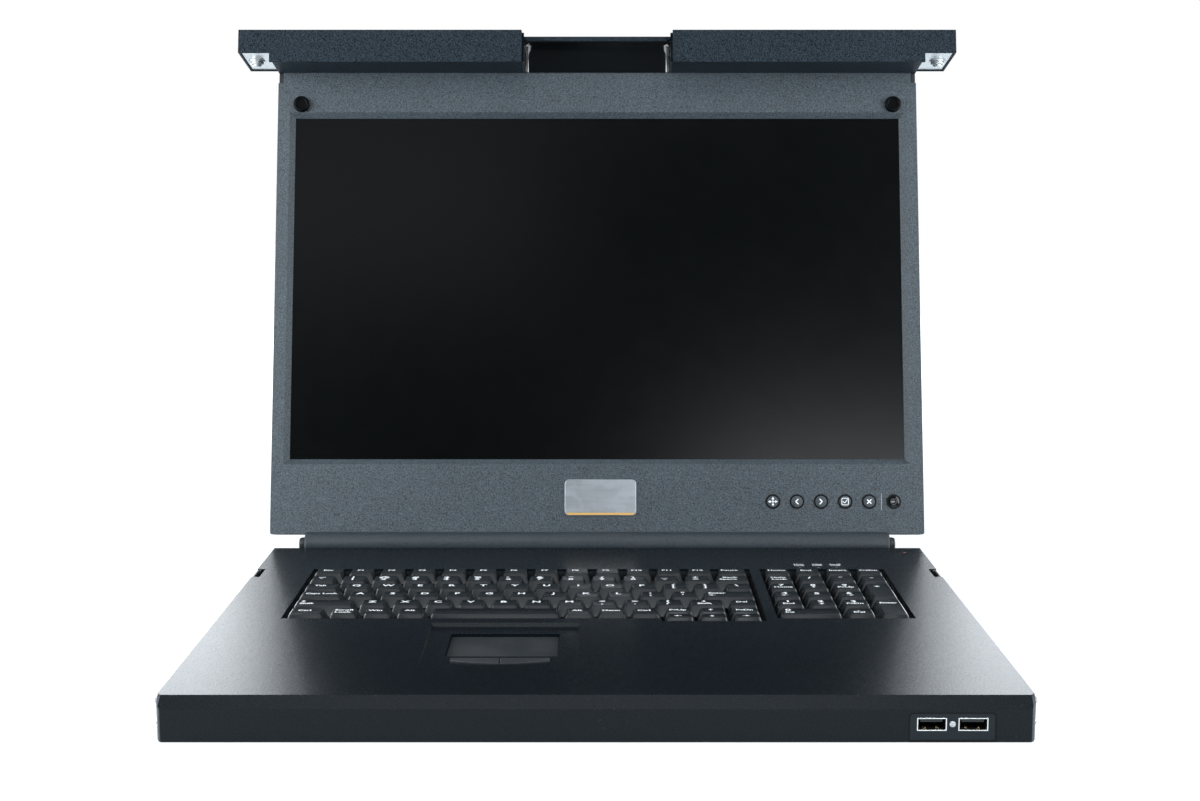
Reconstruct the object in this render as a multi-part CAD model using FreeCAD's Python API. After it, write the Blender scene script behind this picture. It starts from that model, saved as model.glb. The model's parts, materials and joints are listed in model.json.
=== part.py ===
"""Rackmount LCD console drawer, 1U, drawn open.

A shallow steel tray holds a keyboard, a touchpad and the electronics. A lid with an 18.5 inch wide
screen hinges on the back of the tray. The lid carries the 19 inch front bar of the rack, which
closes over the front of the tray.

Frame: millimetres, +X to the user's right, +Y away from the user, +Z up. The origin is the centre
of the tray's bottom face. Lid pieces are drawn flat in lid coordinates: x to the right, v up from
the lid's bottom edge, n out of the screen face. place_lid() turns them to the open position.
"""
import FreeCAD
import Part
import math
import os

# --- Rack standard -------------------------------------------------------------------------------
RACK_PANEL_WIDTH = 482.6     # 19 inch front panel
RACK_UNIT_HEIGHT = 43.6      # one rack unit, less the gap between panels
RAIL_HOLE_INSET = 8.75       # rail hole from the panel's end
RAIL_COVER = 16.3            # width of rail that each end of the panel covers
SLIDE_SPACE = 12.0           # between the tray and the rail, for the slide

# --- Tray ----------------------------------------------------------------------------------------
TRAY_HEIGHT = 22.0
FRONT_BEVEL = 5.5
CORNER_CHAMFER = 2.6
COVER_SHEET = 1.5
PAN_SHEET = 1.2
PAN_FLANGE = 8.0
PAN_CLEARANCE = 0.2          # between the pan's flanges and the cover's walls
TAIL_LENGTH = 32.0           # low section behind the deck, under the hinge
TAIL_CLEARANCE = 1.3         # between the tail and the barrel above it
BAR_CLEARANCE = 0.9          # between the tray's front and the shut bar

# --- Lid and hinge -------------------------------------------------------------------------------
OPEN_ANGLE = 104.2           # angle between deck and screen as drawn
LID_OVERHANG = 5.5           # the lid's side past the tray's
LID_SHEET = 1.5
LID_BACK_SHEET = 1.2
LID_CORNER = 0.8
LID_LIP = 2.0                # frame's folded lip beyond the screen's bevel
LID_SCREW_INSET = 14.0       # corner screws from the lid's ends
RELIEF_WIDTH = 3.4           # corner reliefs of the front shell, beside the bar
RELIEF_LENGTH = 7.0
RELIEF_DEPTH = 6.0
LID_RIB = 2.0                # rib inside the back cover
POST_SUNK = 0.4              # posts into the frame's side walls
CONTROL_PEG_RADIUS = 2.0
CONTROL_PEG_SPACE = 12.0     # first peg from the first button
LID_GAP = 4.0                # between deck and screen face when shut
BARREL_RADIUS = 8.0
BARREL_INSET = 19.2          # barrel's end from the tray's side
BARREL_CHAMFER = 1.2
BARREL_BEHIND_DECK = 0.7     # gap between the deck's back edge and the barrel
AXIS_ABOVE_DECK = 0.7
LID_EDGE_ABOVE_AXIS = 6.5    # bottom edge of the lid from the hinge axis, along the lid
PIN_RADIUS = 2.5
PIN_FIT = 0.06               # radial running clearance of the hinge pin
PIN_ENGAGEMENT = 22.0
HINGE_END_GAP = 0.5
BRACKET_THICKNESS = 2.0
BRACKET_EAR_RADIUS = 4.4
BRACKET_FOOT = 15.0
PIN_HEAD_RADIUS = 4.2
PIN_HEAD_THICKNESS = 1.5

# --- Screen --------------------------------------------------------------------------------------
SCREEN_HEIGHT = 234.0        # clear opening, for an 18.5 inch panel
SCREEN_SIDE = 11.8           # frame beside the opening
SCREEN_BOTTOM = 50.4         # frame below it
SCREEN_ABOVE = 31.2          # and above it, up to the front bar
SCREEN_BEVEL = 3.6           # the bevelled step round the opening, across
BEVEL_DEPTH = 3.5            # and down
MODULE_SIDE = 8.5            # module beyond the clear opening, at each side
MODULE_END = 10.3            # and above and below it
MODULE_SPACE = 4.6           # left behind the module
MODULE_POST_GAP = 0.4        # round the screw posts
GLASS_THICKNESS = 1.4
GLASS_MARGIN = 3.0           # glass edge beyond the clear opening
SEAT_GAP = 0.1
DRIVER_BOARD_WIDTH = 140.0
DRIVER_BOARD_HEIGHT = 70.0
DRIVER_BOARD_DROP = 42.4     # board's middle below the screen's

# --- Front bar -----------------------------------------------------------------------------------
BAR_PROUD = 0.4              # bar above the lid's back when shut
BAR_SHEET = 1.5
BAR_FRONT_SHEET = 2.0
BAR_DEPTH = 22.2             # middle part, front to back when shut
EAR_DEPTH = 16.0
EAR_WIDTH = 20.9
EAR_PLATE_THICKNESS = 2.0
EAR_PLATE_INSET = 0.8
BUSH_RADIUS = 4.6            # locating bush that enters the rail hole
BUSH_LENGTH = 2.0
BUSH_COLLAR_RADIUS = 5.6     # collar round the bush, inside the ear
BUSH_COLLAR = 0.7
SCREW_RADIUS = 2.9           # M6 captive screw
SCREW_TIP = 1.5              # screw end beyond the bush
SCREW_HEAD_RADIUS = 4.6
SCREW_HEAD = 4.5
SCREW_SLOT = 1.2             # slot width and depth
SCREW_CLEARANCE = 0.3
HANDLE_WIDTH = 101.6
HANDLE_NOTCH = 15.0          # cut in the bar's front wall, from its bottom face
HANDLE_LIP = 3.2             # lip folded in along the notch, front to back
HANDLE_LIP_INSET = 2.8       # lip ends from the sides of the recess
CUP_SETBACK = 0.4            # cup's mouth behind the bar's bottom face
EAR_PLATE_GAP = 0.3          # plate to the ear's walls
BUSH_CHAMFER = 0.8
CUP_DEPTH = 27.0
CUP_WALL = 1.5
CUP_CORNER = 5.0

# --- Keyboard ------------------------------------------------------------------------------------
KEY_PITCH = 19.05
ROW_PITCH = 18.7
KEYS_LEFT = -176.8           # left edge of the main key field
KEYPAD_LEFT = 102.6
KEYS_BACK = -57.8            # back edge of the key field, from the deck's back edge
ARROW_ROW = 12.2             # half-height rows of the arrow block
WELL_MARGIN = 0.8            # between the key field and the well's walls
KEY_GAP = 0.85               # between neighbouring key skirts
KEY_TOP = 1.2                # key tops above the deck
KEY_HEIGHT = 5.8
KEY_SIDE_DRAFT = 2.6
KEY_BACK_DRAFT = 1.9
KEY_FRONT_DRAFT = 3.6
KEY_TRAVEL = 2.5
KEY_STEM = 5.0
STEM_CLEARANCE = 0.3
KEY_END_CLEARANCE = 0.5      # left under skirts and stems at full travel
STEM_BELOW_FLOOR = 1.8       # stem end below the well's floor, at rest
WELL_FLOOR = 1.6
TUB_WALL = 2.0
REST_SIZE = 6.0              # square posts under the keyboard's backing plate
MEMBRANE_THICKNESS = 0.6
BACKPLATE_THICKNESS = 1.0

# --- Touchpad ------------------------------------------------------------------------------------
PAD_AREA_LEFT = -90.8
PAD_AREA_RIGHT = -10.2
PAD_AREA_BACK = -181.2
PAD_AREA_FRONT = -268.0
PAD_AREA_DEPTH = 2.0         # at its back edge, running out to nothing at the front
PAD_LEFT = -79.3
PAD_RIGHT = -20.4
PAD_BACK = -196.6
PAD_FRONT = -241.6
PAD_TOP = -3.2
PAD_THICKNESS = 1.6
PAD_CLEARANCE = 0.2
BUTTON_BACK = -247.9
BUTTON_END = 4.0             # depth of the button pair at its outer ends
BUTTON_MIDDLE = 9.6          # and at its middle
BUTTON_HALF_WIDTH = 25.8
BUTTON_SPLIT = 0.5
BUTTON_TOP = 0.6
BUTTON_BODY = 4.4
BUTTON_TRAVEL = 0.8
HOUSING_DEPTH = 8.0
HOUSING_RIM = 4.0
SUNK_SHEET = 3.5             # deck thickness where the touchpad area is pressed in

# --- Front USB module ----------------------------------------------------------------------------
USB_SIDE = 20.0              # module's right side from the tray's
USB_WIDTH = 42.0
USB_BELOW_BEVEL = 1.9
USB_BOTTOM = 1.0
USB_CORNER = 2.2
USB_PORT_WIDTH = 14.5
USB_PORT_HEIGHT = 6.6
USB_PORT_DEPTH = 14.0
USB_PORT_BOTTOM = 5.6
USB_PORT_PITCH = 20.0
USB_SHELL = 0.6
USB_TONGUE = 1.8
USB_TONGUE_WIDTH = 11.0
USB_TONGUE_DROP = 0.3        # tongue below the shell's top
USB_TONGUE_SETBACK = 1.6
USB_FACE_THICKNESS = 2.0
USB_FACE_SETBACK = 0.15      # face behind the tray's front
USB_FLANGE = 1.5             # face's flange behind the wall
USB_LED_RADIUS = 1.75
HUB_BOARD_DEPTH = 32.0
CONTROLLER_LEFT = 60.0       # keyboard controller board, in the space beside the touchpad
CONTROLLER_BACK = -212.0
CONTROLLER_WIDTH = 70.0
CONTROLLER_DEPTH = 50.0
BOARD_STAND = 3.0
BOARD_FOOT = 4.0
CHIP_SIZE = 14.0
CHIP_HEIGHT = 1.4
HEADER_HEIGHT = 4.0          # flat-cable socket

# --- Lid controls --------------------------------------------------------------------------------
CONTROL_ROW = 21.8           # from the lid's bottom edge
CONTROL_PITCH = 16.1
POWER_SIDE = 20.2            # power button from the lid's side
POWER_SPACE = 16.4           # and from the last menu button
CONTROL_RADIUS = 4.7
CONTROL_FLANGE = 0.9
CONTROL_STAND = 0.4          # button top above the screen face
CONTROL_TRAVEL = 0.8
SWITCH_SIZE = 6.0
SWITCH_HEIGHT = 0.6
CONTROL_CLEARANCE = 0.2
CONTROL_NAMES = ("menu_button", "left_button", "right_button", "select_button", "exit_button")
BOARD_THICKNESS = 1.6
BUMPER_SIDE = 16.3           # from the lid's side
BUMPER_END = 22.3            # from the front bar
BUMPER_RADIUS = 5.4
BUMPER_STEM_RADIUS = 2.5
BUMPER_CHAMFER = 1.0
BUMPER_REST_GAP = 0.2        # left under the bumpers when shut
BADGE_WIDTH = 47.8
BADGE_HEIGHT = 24.2
BADGE_BOTTOM = 12.4
BADGE_OFFSET = 2.2
BADGE_THICKNESS = 0.8
BADGE_CORNER = 3.0

# --- Slides and catches --------------------------------------------------------------------------
SLIDE_HEIGHT = 14.0
SLIDE_DEPTH = 4.2
SLIDE_SHEET = 1.2
SLIDE_BOTTOM = 2.4
SLIDE_SETBACK = 11.0         # slide's end behind the front of the deck
SLIDE_PAST_DECK = 24.0       # and its other end behind the deck's back edge
SLIDE_SCREW_INSET = 48.0     # first and last screw from the slide's ends
SLIDE_SCREWS = 4
SLIDE_GROOVE = 1.1
SLIDE_NOSE = 3.0
CATCH_BACK = -57.0
CATCH_FRONT = -77.0
CATCH_NOTCH_DEPTH = 9.0
CATCH_TRAVEL = 2.0
CATCH_CLEARANCE = 0.4
CATCH_THICKNESS = 2.2
CATCH_BODY = 5.0
CATCH_INSET = 3.0            # block's ends from the notch's
CATCH_SCOOP = 5.0            # finger scoop, from the tab's top down
CATCH_BODY_DEPTH = 12.0      # bottom of the catch's block below the deck

# --- Indicators, sockets and fasteners -----------------------------------------------------------
LOCK_LED_X = (127.9, 139.4, 150.9)
LOCK_LED_Y = -53.0
LED_RADIUS = 1.0
LAMP_LENGTH = 3.5
LAMP_PROUD = 0.25            # lamps above the face that they show through
STATUS_LED_SIDE = 12.6
STATUS_LED_Y = -12.3
M3_RADIUS = 1.5
M3_CLEARANCE = 0.1
M3_HEAD_RADIUS = 2.8
M3_HEAD = 1.2
M3_DEPTH = 7.0               # screw in its post
SCREW_PAST_SHEET = 2.0       # slide screw beyond the cover's wall
POST_INSET = 12.2            # tray posts from its sides; twice that from its ends
POST_RADIUS = 3.5            # hexagonal threaded post, over its corners
THREAD_FIT = 0.02            # radial, between a screw and its tapped hole
SCREW_SIDES = 8              # flats that stand for the thread of a small screw and its hole
HEAD_SIDES = 12
LAMP_SIDES = 12
VGA_X = -120.0
USB_B_X = -80.0
POWER_JACK_X = -60.0
VGA_HALF_WIDTH = 8.45
VGA_HALF_HEIGHT = 4.2
VGA_TAPER = 1.5              # narrower below on each side
VGA_SHELL = 0.5
VGA_PLUG_SPACE = 0.8         # round the insert, for the plug's shell
VGA_REACH = 5.6              # shell behind the back wall
VGA_PLATE = 1.0
VGA_NUT_X = 12.5
VGA_NUT_RADIUS = 2.6
VGA_NUT_LENGTH = 4.5
USB_B_HALF_WIDTH = 5.9
USB_B_HALF_HEIGHT = 5.1
USB_B_WALL = 1.0
USB_B_DEPTH = 13.5           # in front of the back wall
JACK_RADIUS = 4.4
JACK_BORE = 2.8
JACK_PIN = 1.0
JACK_DEPTH = 11.5
SOCKET_FOOT = 3.0
SOCKET_PROUD = 0.8           # square socket and jack behind the back wall

# --- Derived sizes -------------------------------------------------------------------------------
TRAY_WIDTH = RACK_PANEL_WIDTH - 2 * (RAIL_COVER + SLIDE_SPACE)
LID_WIDTH = TRAY_WIDTH + 2 * LID_OVERHANG
LID_LENGTH = SCREEN_BOTTOM + SCREEN_HEIGHT + SCREEN_ABOVE
LID_THICKNESS = RACK_UNIT_HEIGHT - TRAY_HEIGHT - LID_GAP - BAR_PROUD
SCREEN_WIDTH = LID_WIDTH - 2 * SCREEN_SIDE
BARREL_TO_DECK = BARREL_RADIUS + BARREL_BEHIND_DECK
DECK_DEPTH = LID_LENGTH + LID_EDGE_ABOVE_AXIS - BARREL_TO_DECK - FRONT_BEVEL - BAR_CLEARANCE
TRAY_LENGTH = DECK_DEPTH + FRONT_BEVEL + TAIL_LENGTH
TRAY_BACK = TRAY_LENGTH / 2
TRAY_FRONT = -TRAY_LENGTH / 2
DECK_BACK = TRAY_BACK - TAIL_LENGTH
HALF_TRAY = TRAY_WIDTH / 2
AXIS_Y = DECK_BACK + BARREL_TO_DECK
AXIS_Z = TRAY_HEIGHT + AXIS_ABOVE_DECK
TAIL_HEIGHT = AXIS_Z - BARREL_RADIUS - TAIL_CLEARANCE
BARREL_HALF_LENGTH = HALF_TRAY - BARREL_INSET
FACE_FROM_AXIS = AXIS_ABOVE_DECK - LID_GAP
BAR_BOTTOM = TRAY_HEIGHT + LID_GAP
BAR_TOP = BAR_BOTTOM - RACK_UNIT_HEIGHT
BAR_FRONT = LID_LENGTH + BAR_DEPTH
EAR_BACK = BAR_FRONT - EAR_DEPTH
LIP_FACE = BAR_BOTTOM - HANDLE_NOTCH
HALF_BAR = RACK_PANEL_WIDTH / 2
HALF_LID = LID_WIDTH / 2
RACK_HOLE_SPAN = RACK_PANEL_WIDTH - 2 * RAIL_HOLE_INSET
MODULE_FRONT = -BEVEL_DEPTH - SEAT_GAP
MODULE_BACK = -LID_THICKNESS + MODULE_SPACE
SCREEN_MIDDLE = SCREEN_BOTTOM + SCREEN_HEIGHT / 2
WELL_FLOOR_DEPTH = KEY_HEIGHT - KEY_TOP + KEY_TRAVEL + KEY_END_CLEARANCE
STEM_END = WELL_FLOOR_DEPTH + WELL_FLOOR + STEM_BELOW_FLOOR
TUB_DEPTH = STEM_END + KEY_TRAVEL + KEY_END_CLEARANCE
CATCH_NOTCH = CATCH_THICKNESS + CATCH_TRAVEL + 2 * CATCH_CLEARANCE
USB_RIGHT = HALF_TRAY - USB_SIDE
USB_LEFT = USB_RIGHT - USB_WIDTH
USB_TOP = TRAY_HEIGHT - FRONT_BEVEL - USB_BELOW_BEVEL
USB_MIDDLE = (USB_LEFT + USB_RIGHT) / 2
USB_PORT_CENTRES = (USB_MIDDLE - USB_PORT_PITCH / 2, USB_MIDDLE + USB_PORT_PITCH / 2)
POWER_X = HALF_LID - POWER_SIDE
FIRST_CONTROL_X = POWER_X - POWER_SPACE - (len(CONTROL_NAMES) - 1) * CONTROL_PITCH
BUMPER_X = HALF_LID - BUMPER_SIDE
BUMPER_ROW = LID_LENGTH - BUMPER_END
SLIDE_FRONT = SLIDE_SETBACK - DECK_DEPTH
DECK_LAMPS = [(x, LOCK_LED_Y) for x in LOCK_LED_X] + [(HALF_TRAY - STATUS_LED_SIDE, STATUS_LED_Y)]
SOCKET_PANEL_Z = TAIL_HEIGHT / 2
X_AXIS = FreeCAD.Vector(1, 0, 0)
Y_AXIS = FreeCAD.Vector(0, 1, 0)
Z_AXIS = FreeCAD.Vector(0, 0, 1)
CUT_OVER = 1.0               # how far a cutting tool runs past the face that it cuts


# --- Small helpers -------------------------------------------------------------------------------
def block(x0, x1, y0, y1, z0, z1):
    """A box between two corners."""
    corner = FreeCAD.Vector(min(x0, x1), min(y0, y1), min(z0, z1))
    return Part.makeBox(abs(x1 - x0), abs(y1 - y0), abs(z1 - z0), corner)


def rod(x, y, z, radius, length, direction=Z_AXIS):
    """A cylinder that starts at a point and runs along a direction."""
    return Part.makeCylinder(radius, length, FreeCAD.Vector(x, y, z), direction)


def ring_of_sides(x, y, z, radius, sides, direction):
    """A regular polygon as a closed wire, square to a direction."""
    placement = FreeCAD.Placement(FreeCAD.Vector(x, y, z), FreeCAD.Rotation(Z_AXIS, direction))
    turns = [2 * math.pi * (i + 0.5) / sides for i in range(sides)]
    corners = [FreeCAD.Vector(radius * math.cos(a), radius * math.sin(a), 0) for a in turns]
    return Part.makePolygon([placement.multVec(corner) for corner in corners + corners[:1]])


def prism(x, y, z, radius, sides, length, direction=Z_AXIS):
    """A regular prism that starts at a point and runs along a direction."""
    face = Part.Face(ring_of_sides(x, y, z, radius, sides, direction))
    return face.extrude(FreeCAD.Vector(direction) * length)


def tapered_prism(x, y, z, radius_start, radius_end, sides, length):
    """An upright prism whose radius changes along it."""
    rings = [ring_of_sides(x, y, z, radius_start, sides, Z_AXIS),
             ring_of_sides(x, y, z + length, radius_end, sides, Z_AXIS)]
    return Part.makeLoft(rings, True, True)


def corners_of(x0, x1, y0, y1, z):
    """The four corners of a level rectangle, in order round it."""
    return [FreeCAD.Vector(x, y, z) for x, y in ((x0, y0), (x1, y0), (x1, y1), (x0, y1))]


def frustum(lower, upper):
    """A flat-sided solid between two level rectangles, each given as (x0, x1, y0, y1, z)."""
    low, high = corners_of(*lower), corners_of(*upper)
    rings = [low, high]
    for i in range(4):
        j = (i + 1) % 4
        rings.append([low[i], low[j], high[j], high[i]])
    faces = [Part.Face(Part.makePolygon(ring + ring[:1])) for ring in rings]
    return Part.makeSolid(Part.makeShell(faces))


def fuse(shapes):
    """One solid from several that touch or overlap."""
    first, rest = shapes[0], shapes[1:]
    return first.fuse(rest).removeSplitter() if rest else first


def cut(shape, tools):
    """A shape less a list of tools."""
    return shape.cut(tools).removeSplitter()


def edges_along(shape, direction, keep=lambda edge: True):
    """Straight edges parallel to a direction that also pass a test."""
    found = []
    for edge in shape.Edges:
        if not isinstance(edge.Curve, Part.Line):
            continue
        if abs(abs(edge.Curve.Direction.dot(direction)) - 1) < 1e-6 and keep(edge):
            found.append(edge)
    return found


def rounded_block(x0, x1, y0, y1, z0, z1, radius, direction=Z_AXIS):
    """A box with its four edges along one direction rounded."""
    shape = block(x0, x1, y0, y1, z0, z1)
    return shape.makeFillet(radius, edges_along(shape, direction))


def both_sides(shape):
    """A shape and its mirror image in the middle plane."""
    return [shape, shape.mirror(FreeCAD.Vector(0, 0, 0), X_AXIS)]


def on_deck(y):
    """World y of a place measured from the deck's back edge."""
    return DECK_BACK + y


def below_deck(z):
    """World z of a height measured from the deck's top."""
    return TRAY_HEIGHT + z


def place_lid(shape):
    """Turn a shape from flat lid coordinates to the open position on the hinge."""
    placed = shape.copy()
    placed.translate(FreeCAD.Vector(0, LID_EDGE_ABOVE_AXIS, FACE_FROM_AXIS))
    placed.rotate(FreeCAD.Vector(0, 0, 0), X_AXIS, 180 - OPEN_ANGLE)
    placed.translate(FreeCAD.Vector(0, AXIS_Y, AXIS_Z))
    return placed


def save(name, solids):
    """Write one node as a STEP file: one solid, or a group of separate solids."""
    shape = solids[0] if len(solids) == 1 else Part.makeCompound(solids)
    shape.exportStep("parts/" + name + ".step")


def save_lid(name, solids):
    """Write one node of the lid."""
    save(name, [place_lid(solid) for solid in solids])


# --- Key layout ----------------------------------------------------------------------------------
def row_of_keys(left, widths):
    """Left and right edges of a row of keys whose widths are in key pitches."""
    edges = []
    for width in widths:
        right = left + width * KEY_PITCH
        edges.append((left, right))
        left = right
    return edges


def row_back(row):
    """Back edge of a key row; row 0 is the function row."""
    return KEYS_BACK - row * ROW_PITCH


def main_rows():
    """Key widths of the six main rows, in key pitches."""
    return [
        [1.125] + [1.0] * 12 + [1.125],
        [1.0] * 13 + [1.25],
        [1.25] + [1.0] * 13,
        [1.5] + [1.0] * 11 + [1.75],
        [2.0] + [1.0] * 10 + [1.25, 1.0],
        [1.25] + [1.0] * 3 + [4.0] + [1.0] * 3,
    ]


def key_layout():
    """All keys as {node name: [(x0, x1, y0, y1), ...]}, y0 the front edge."""
    rows = main_rows()
    cells = [
        [(x0, x1, row_back(r + 1), row_back(r)) for x0, x1 in row_of_keys(KEYS_LEFT, widths)]
        for r, widths in enumerate(rows)
    ]
    arrow_left = KEYS_LEFT + sum(rows[5]) * KEY_PITCH
    arrows = []
    for half_row in range(2):
        back = row_back(5) - half_row * ARROW_ROW
        for x0, x1 in row_of_keys(arrow_left, [1.0] * 3):
            arrows.append((x0, x1, back - ARROW_ROW, back))
    pad = row_of_keys(KEYPAD_LEFT, [1.0] * 4)
    keypad = [(x0, x1, row_back(r + 1), row_back(r)) for r in range(2) for x0, x1 in pad]
    keypad += [(x0, x1, row_back(r + 1), row_back(r)) for r in range(2, 5) for x0, x1 in pad[:3]]
    keypad.append((pad[2][0], pad[2][1], row_back(6), row_back(5)))
    return {
        "function_keys": cells[0],
        "number_keys": cells[1][:-1],
        "backspace_key": cells[1][-1:],
        "qwerty_keys": cells[2],
        "home_row_keys": cells[3][:-1],
        "enter_key": cells[3][-1:],
        "shift_row_keys": cells[4],
        "modifier_keys": cells[5][:4] + cells[5][5:],
        "space_bar": cells[5][4:5],
        "arrow_keys": arrows,
        "keypad_keys": keypad,
        "keypad_plus_key": [(pad[3][0], pad[3][1], row_back(4), row_back(2))],
        "keypad_enter_key": [(pad[3][0], pad[3][1], row_back(6), row_back(4))],
        "keypad_zero_key": [(pad[0][0], pad[1][1], row_back(6), row_back(5))],
    }


def well_outlines(margin):
    """Plan rectangles of the key wells: main field, arrow block and keypad."""
    right = KEYS_LEFT + sum(main_rows()[0]) * KEY_PITCH
    arrow_left = KEYS_LEFT + sum(main_rows()[5]) * KEY_PITCH
    back = on_deck(KEYS_BACK) + margin
    front = on_deck(row_back(6)) - margin
    arrow_front = on_deck(row_back(5) - 2 * ARROW_ROW) - margin
    return [
        (KEYS_LEFT - margin, right + margin, front, back),
        (arrow_left - margin, right + margin, arrow_front, back - ROW_PITCH),
        (KEYPAD_LEFT - margin, KEYPAD_LEFT + 4 * KEY_PITCH + margin, front, back),
    ]


# --- Keys ----------------------------------------------------------------------------------------
def key_stem(x0, x1, y0, y1, clearance, top, bottom):
    """Guide stem under the middle of a key, or the hole for it."""
    half_x = KEY_STEM / 2 + clearance
    half_y = min(KEY_STEM, 0.55 * (y1 - y0)) / 2 + clearance
    x = (x0 + x1) / 2
    y = on_deck((y0 + y1) / 2)
    return block(x - half_x, x + half_x, y - half_y, y + half_y, below_deck(bottom), below_deck(top))


def keycap(x0, x1, y0, y1):
    """A tapered key cap with its stem, standing at rest."""
    half_gap = KEY_GAP / 2
    depth_share = min(1.0, (y1 - y0) / ROW_PITCH)
    skirt = KEY_TOP - KEY_HEIGHT
    lower = (x0 + half_gap, x1 - half_gap, on_deck(y0) + half_gap, on_deck(y1) - half_gap,
             below_deck(skirt))
    upper = (lower[0] + KEY_SIDE_DRAFT, lower[1] - KEY_SIDE_DRAFT,
             lower[2] + KEY_FRONT_DRAFT * depth_share, lower[3] - KEY_BACK_DRAFT * depth_share,
             below_deck(KEY_TOP))
    return fuse([frustum(lower, upper), key_stem(x0, x1, y0, y1, 0, skirt, -STEM_END)])


def make_keys():
    """Every key, grouped by row or block."""
    for name, cells in key_layout().items():
        save(name, [keycap(*cell) for cell in cells])


def make_keyboard_tub():
    """The moulded tub: wells with guide holes, open below for the membrane."""
    wells = well_outlines(WELL_MARGIN)
    outer = [block(x0 - TUB_WALL, x1 + TUB_WALL, y0 - TUB_WALL, y1 + TUB_WALL,
                   below_deck(-TUB_DEPTH), below_deck(-COVER_SHEET)) for x0, x1, y0, y1 in wells]
    middle = block(wells[0][1], wells[2][0], wells[0][2] - TUB_WALL, wells[0][3] + TUB_WALL,
                   below_deck(-TUB_DEPTH), below_deck(-COVER_SHEET))
    tub = fuse(outer + [middle])
    tools = []
    for x0, x1, y0, y1 in wells:
        tools.append(block(x0, x1, y0, y1, below_deck(-WELL_FLOOR_DEPTH), below_deck(CUT_OVER)))
        tools.append(block(x0, x1, y0, y1, below_deck(-TUB_DEPTH) - CUT_OVER,
                           below_deck(-WELL_FLOOR_DEPTH - WELL_FLOOR)))
    for cells in key_layout().values():
        for x0, x1, y0, y1 in cells:
            tools.append(key_stem(x0, x1, y0, y1, STEM_CLEARANCE, -WELL_FLOOR_DEPTH + CUT_OVER,
                                  -WELL_FLOOR_DEPTH - WELL_FLOOR - CUT_OVER))
    save("keyboard_tub", [cut(tub, tools)])


def tub_footprint(z0, z1):
    """The tub's outline between two heights below the deck, as one solid."""
    wells = well_outlines(WELL_MARGIN + TUB_WALL)
    plates = [block(x0, x1, y0, y1, below_deck(z0), below_deck(z1)) for x0, x1, y0, y1 in wells]
    plates.append(block(wells[0][1] - CUT_OVER, wells[2][0] + CUT_OVER, wells[0][2], wells[0][3],
                        below_deck(z0), below_deck(z1)))
    return fuse(plates)


def make_keyboard_layers():
    """Contact membrane and the steel plate that backs it."""
    membrane_bottom = -TUB_DEPTH - MEMBRANE_THICKNESS
    save("keyboard_membrane", [tub_footprint(membrane_bottom, -TUB_DEPTH)])
    plate_bottom = membrane_bottom - BACKPLATE_THICKNESS
    save("keyboard_backplate", [tub_footprint(plate_bottom, membrane_bottom)])


# --- Touchpad ------------------------------------------------------------------------------------
def button_outline(grow, z0, z1):
    """The pair of touchpad buttons as one plate, straight behind and bowed in front."""
    middle_x = (PAD_LEFT + PAD_RIGHT) / 2
    left = middle_x - BUTTON_HALF_WIDTH - grow
    right = middle_x + BUTTON_HALF_WIDTH + grow
    back = on_deck(BUTTON_BACK) + grow
    end = on_deck(BUTTON_BACK - BUTTON_END) - grow
    bow = on_deck(BUTTON_BACK - BUTTON_MIDDLE) - grow
    bottom = below_deck(z0)
    front_arc = Part.Arc(FreeCAD.Vector(left, end, bottom), FreeCAD.Vector(middle_x, bow, bottom),
                         FreeCAD.Vector(right, end, bottom)).toShape()
    sides = Part.makePolygon([FreeCAD.Vector(right, end, bottom), FreeCAD.Vector(right, back, bottom),
                              FreeCAD.Vector(left, back, bottom), FreeCAD.Vector(left, end, bottom)])
    face = Part.Face(Part.Wire([front_arc] + sides.Edges))
    return face.extrude(FreeCAD.Vector(0, 0, z1 - z0))


def make_touchpad():
    """Pad surface, its housing under the deck and the two buttons."""
    pad_bottom = PAD_TOP - PAD_THICKNESS
    pad = rounded_block(PAD_LEFT, PAD_RIGHT, on_deck(PAD_FRONT), on_deck(PAD_BACK),
                        below_deck(pad_bottom), below_deck(PAD_TOP), 1.0)
    save("touchpad_surface", [pad])

    button_front = BUTTON_BACK - BUTTON_MIDDLE
    housing = block(PAD_LEFT - HOUSING_RIM, PAD_RIGHT + HOUSING_RIM, on_deck(button_front - HOUSING_RIM),
                    on_deck(PAD_BACK + HOUSING_RIM), below_deck(-HOUSING_DEPTH),
                    below_deck(-SUNK_SHEET))
    button_bottom = BUTTON_TOP - BUTTON_BODY
    pocket_floor = button_bottom - BUTTON_TRAVEL - 2 * PAD_CLEARANCE
    pad_pocket = block(PAD_LEFT - PAD_CLEARANCE, PAD_RIGHT + PAD_CLEARANCE,
                       on_deck(PAD_FRONT) - PAD_CLEARANCE, on_deck(PAD_BACK) + PAD_CLEARANCE,
                       below_deck(pad_bottom), below_deck(0))
    button_pocket = button_outline(PAD_CLEARANCE, pocket_floor, 0)
    save("touchpad_housing", [cut(housing, [pad_pocket, button_pocket])])

    pair = button_outline(0, button_bottom, BUTTON_TOP)
    middle_x = (PAD_LEFT + PAD_RIGHT) / 2
    y0, y1 = on_deck(button_front) - CUT_OVER, on_deck(BUTTON_BACK) + CUT_OVER
    z0, z1 = below_deck(button_bottom) - CUT_OVER, below_deck(BUTTON_TOP) + CUT_OVER
    far = BUTTON_HALF_WIDTH + CUT_OVER
    left_half = block(middle_x - far, middle_x - BUTTON_SPLIT / 2, y0, y1, z0, z1)
    right_half = block(middle_x + BUTTON_SPLIT / 2, middle_x + far, y0, y1, z0, z1)
    save("touchpad_button_left", [pair.common(left_half)])
    save("touchpad_button_right", [pair.common(right_half)])


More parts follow.
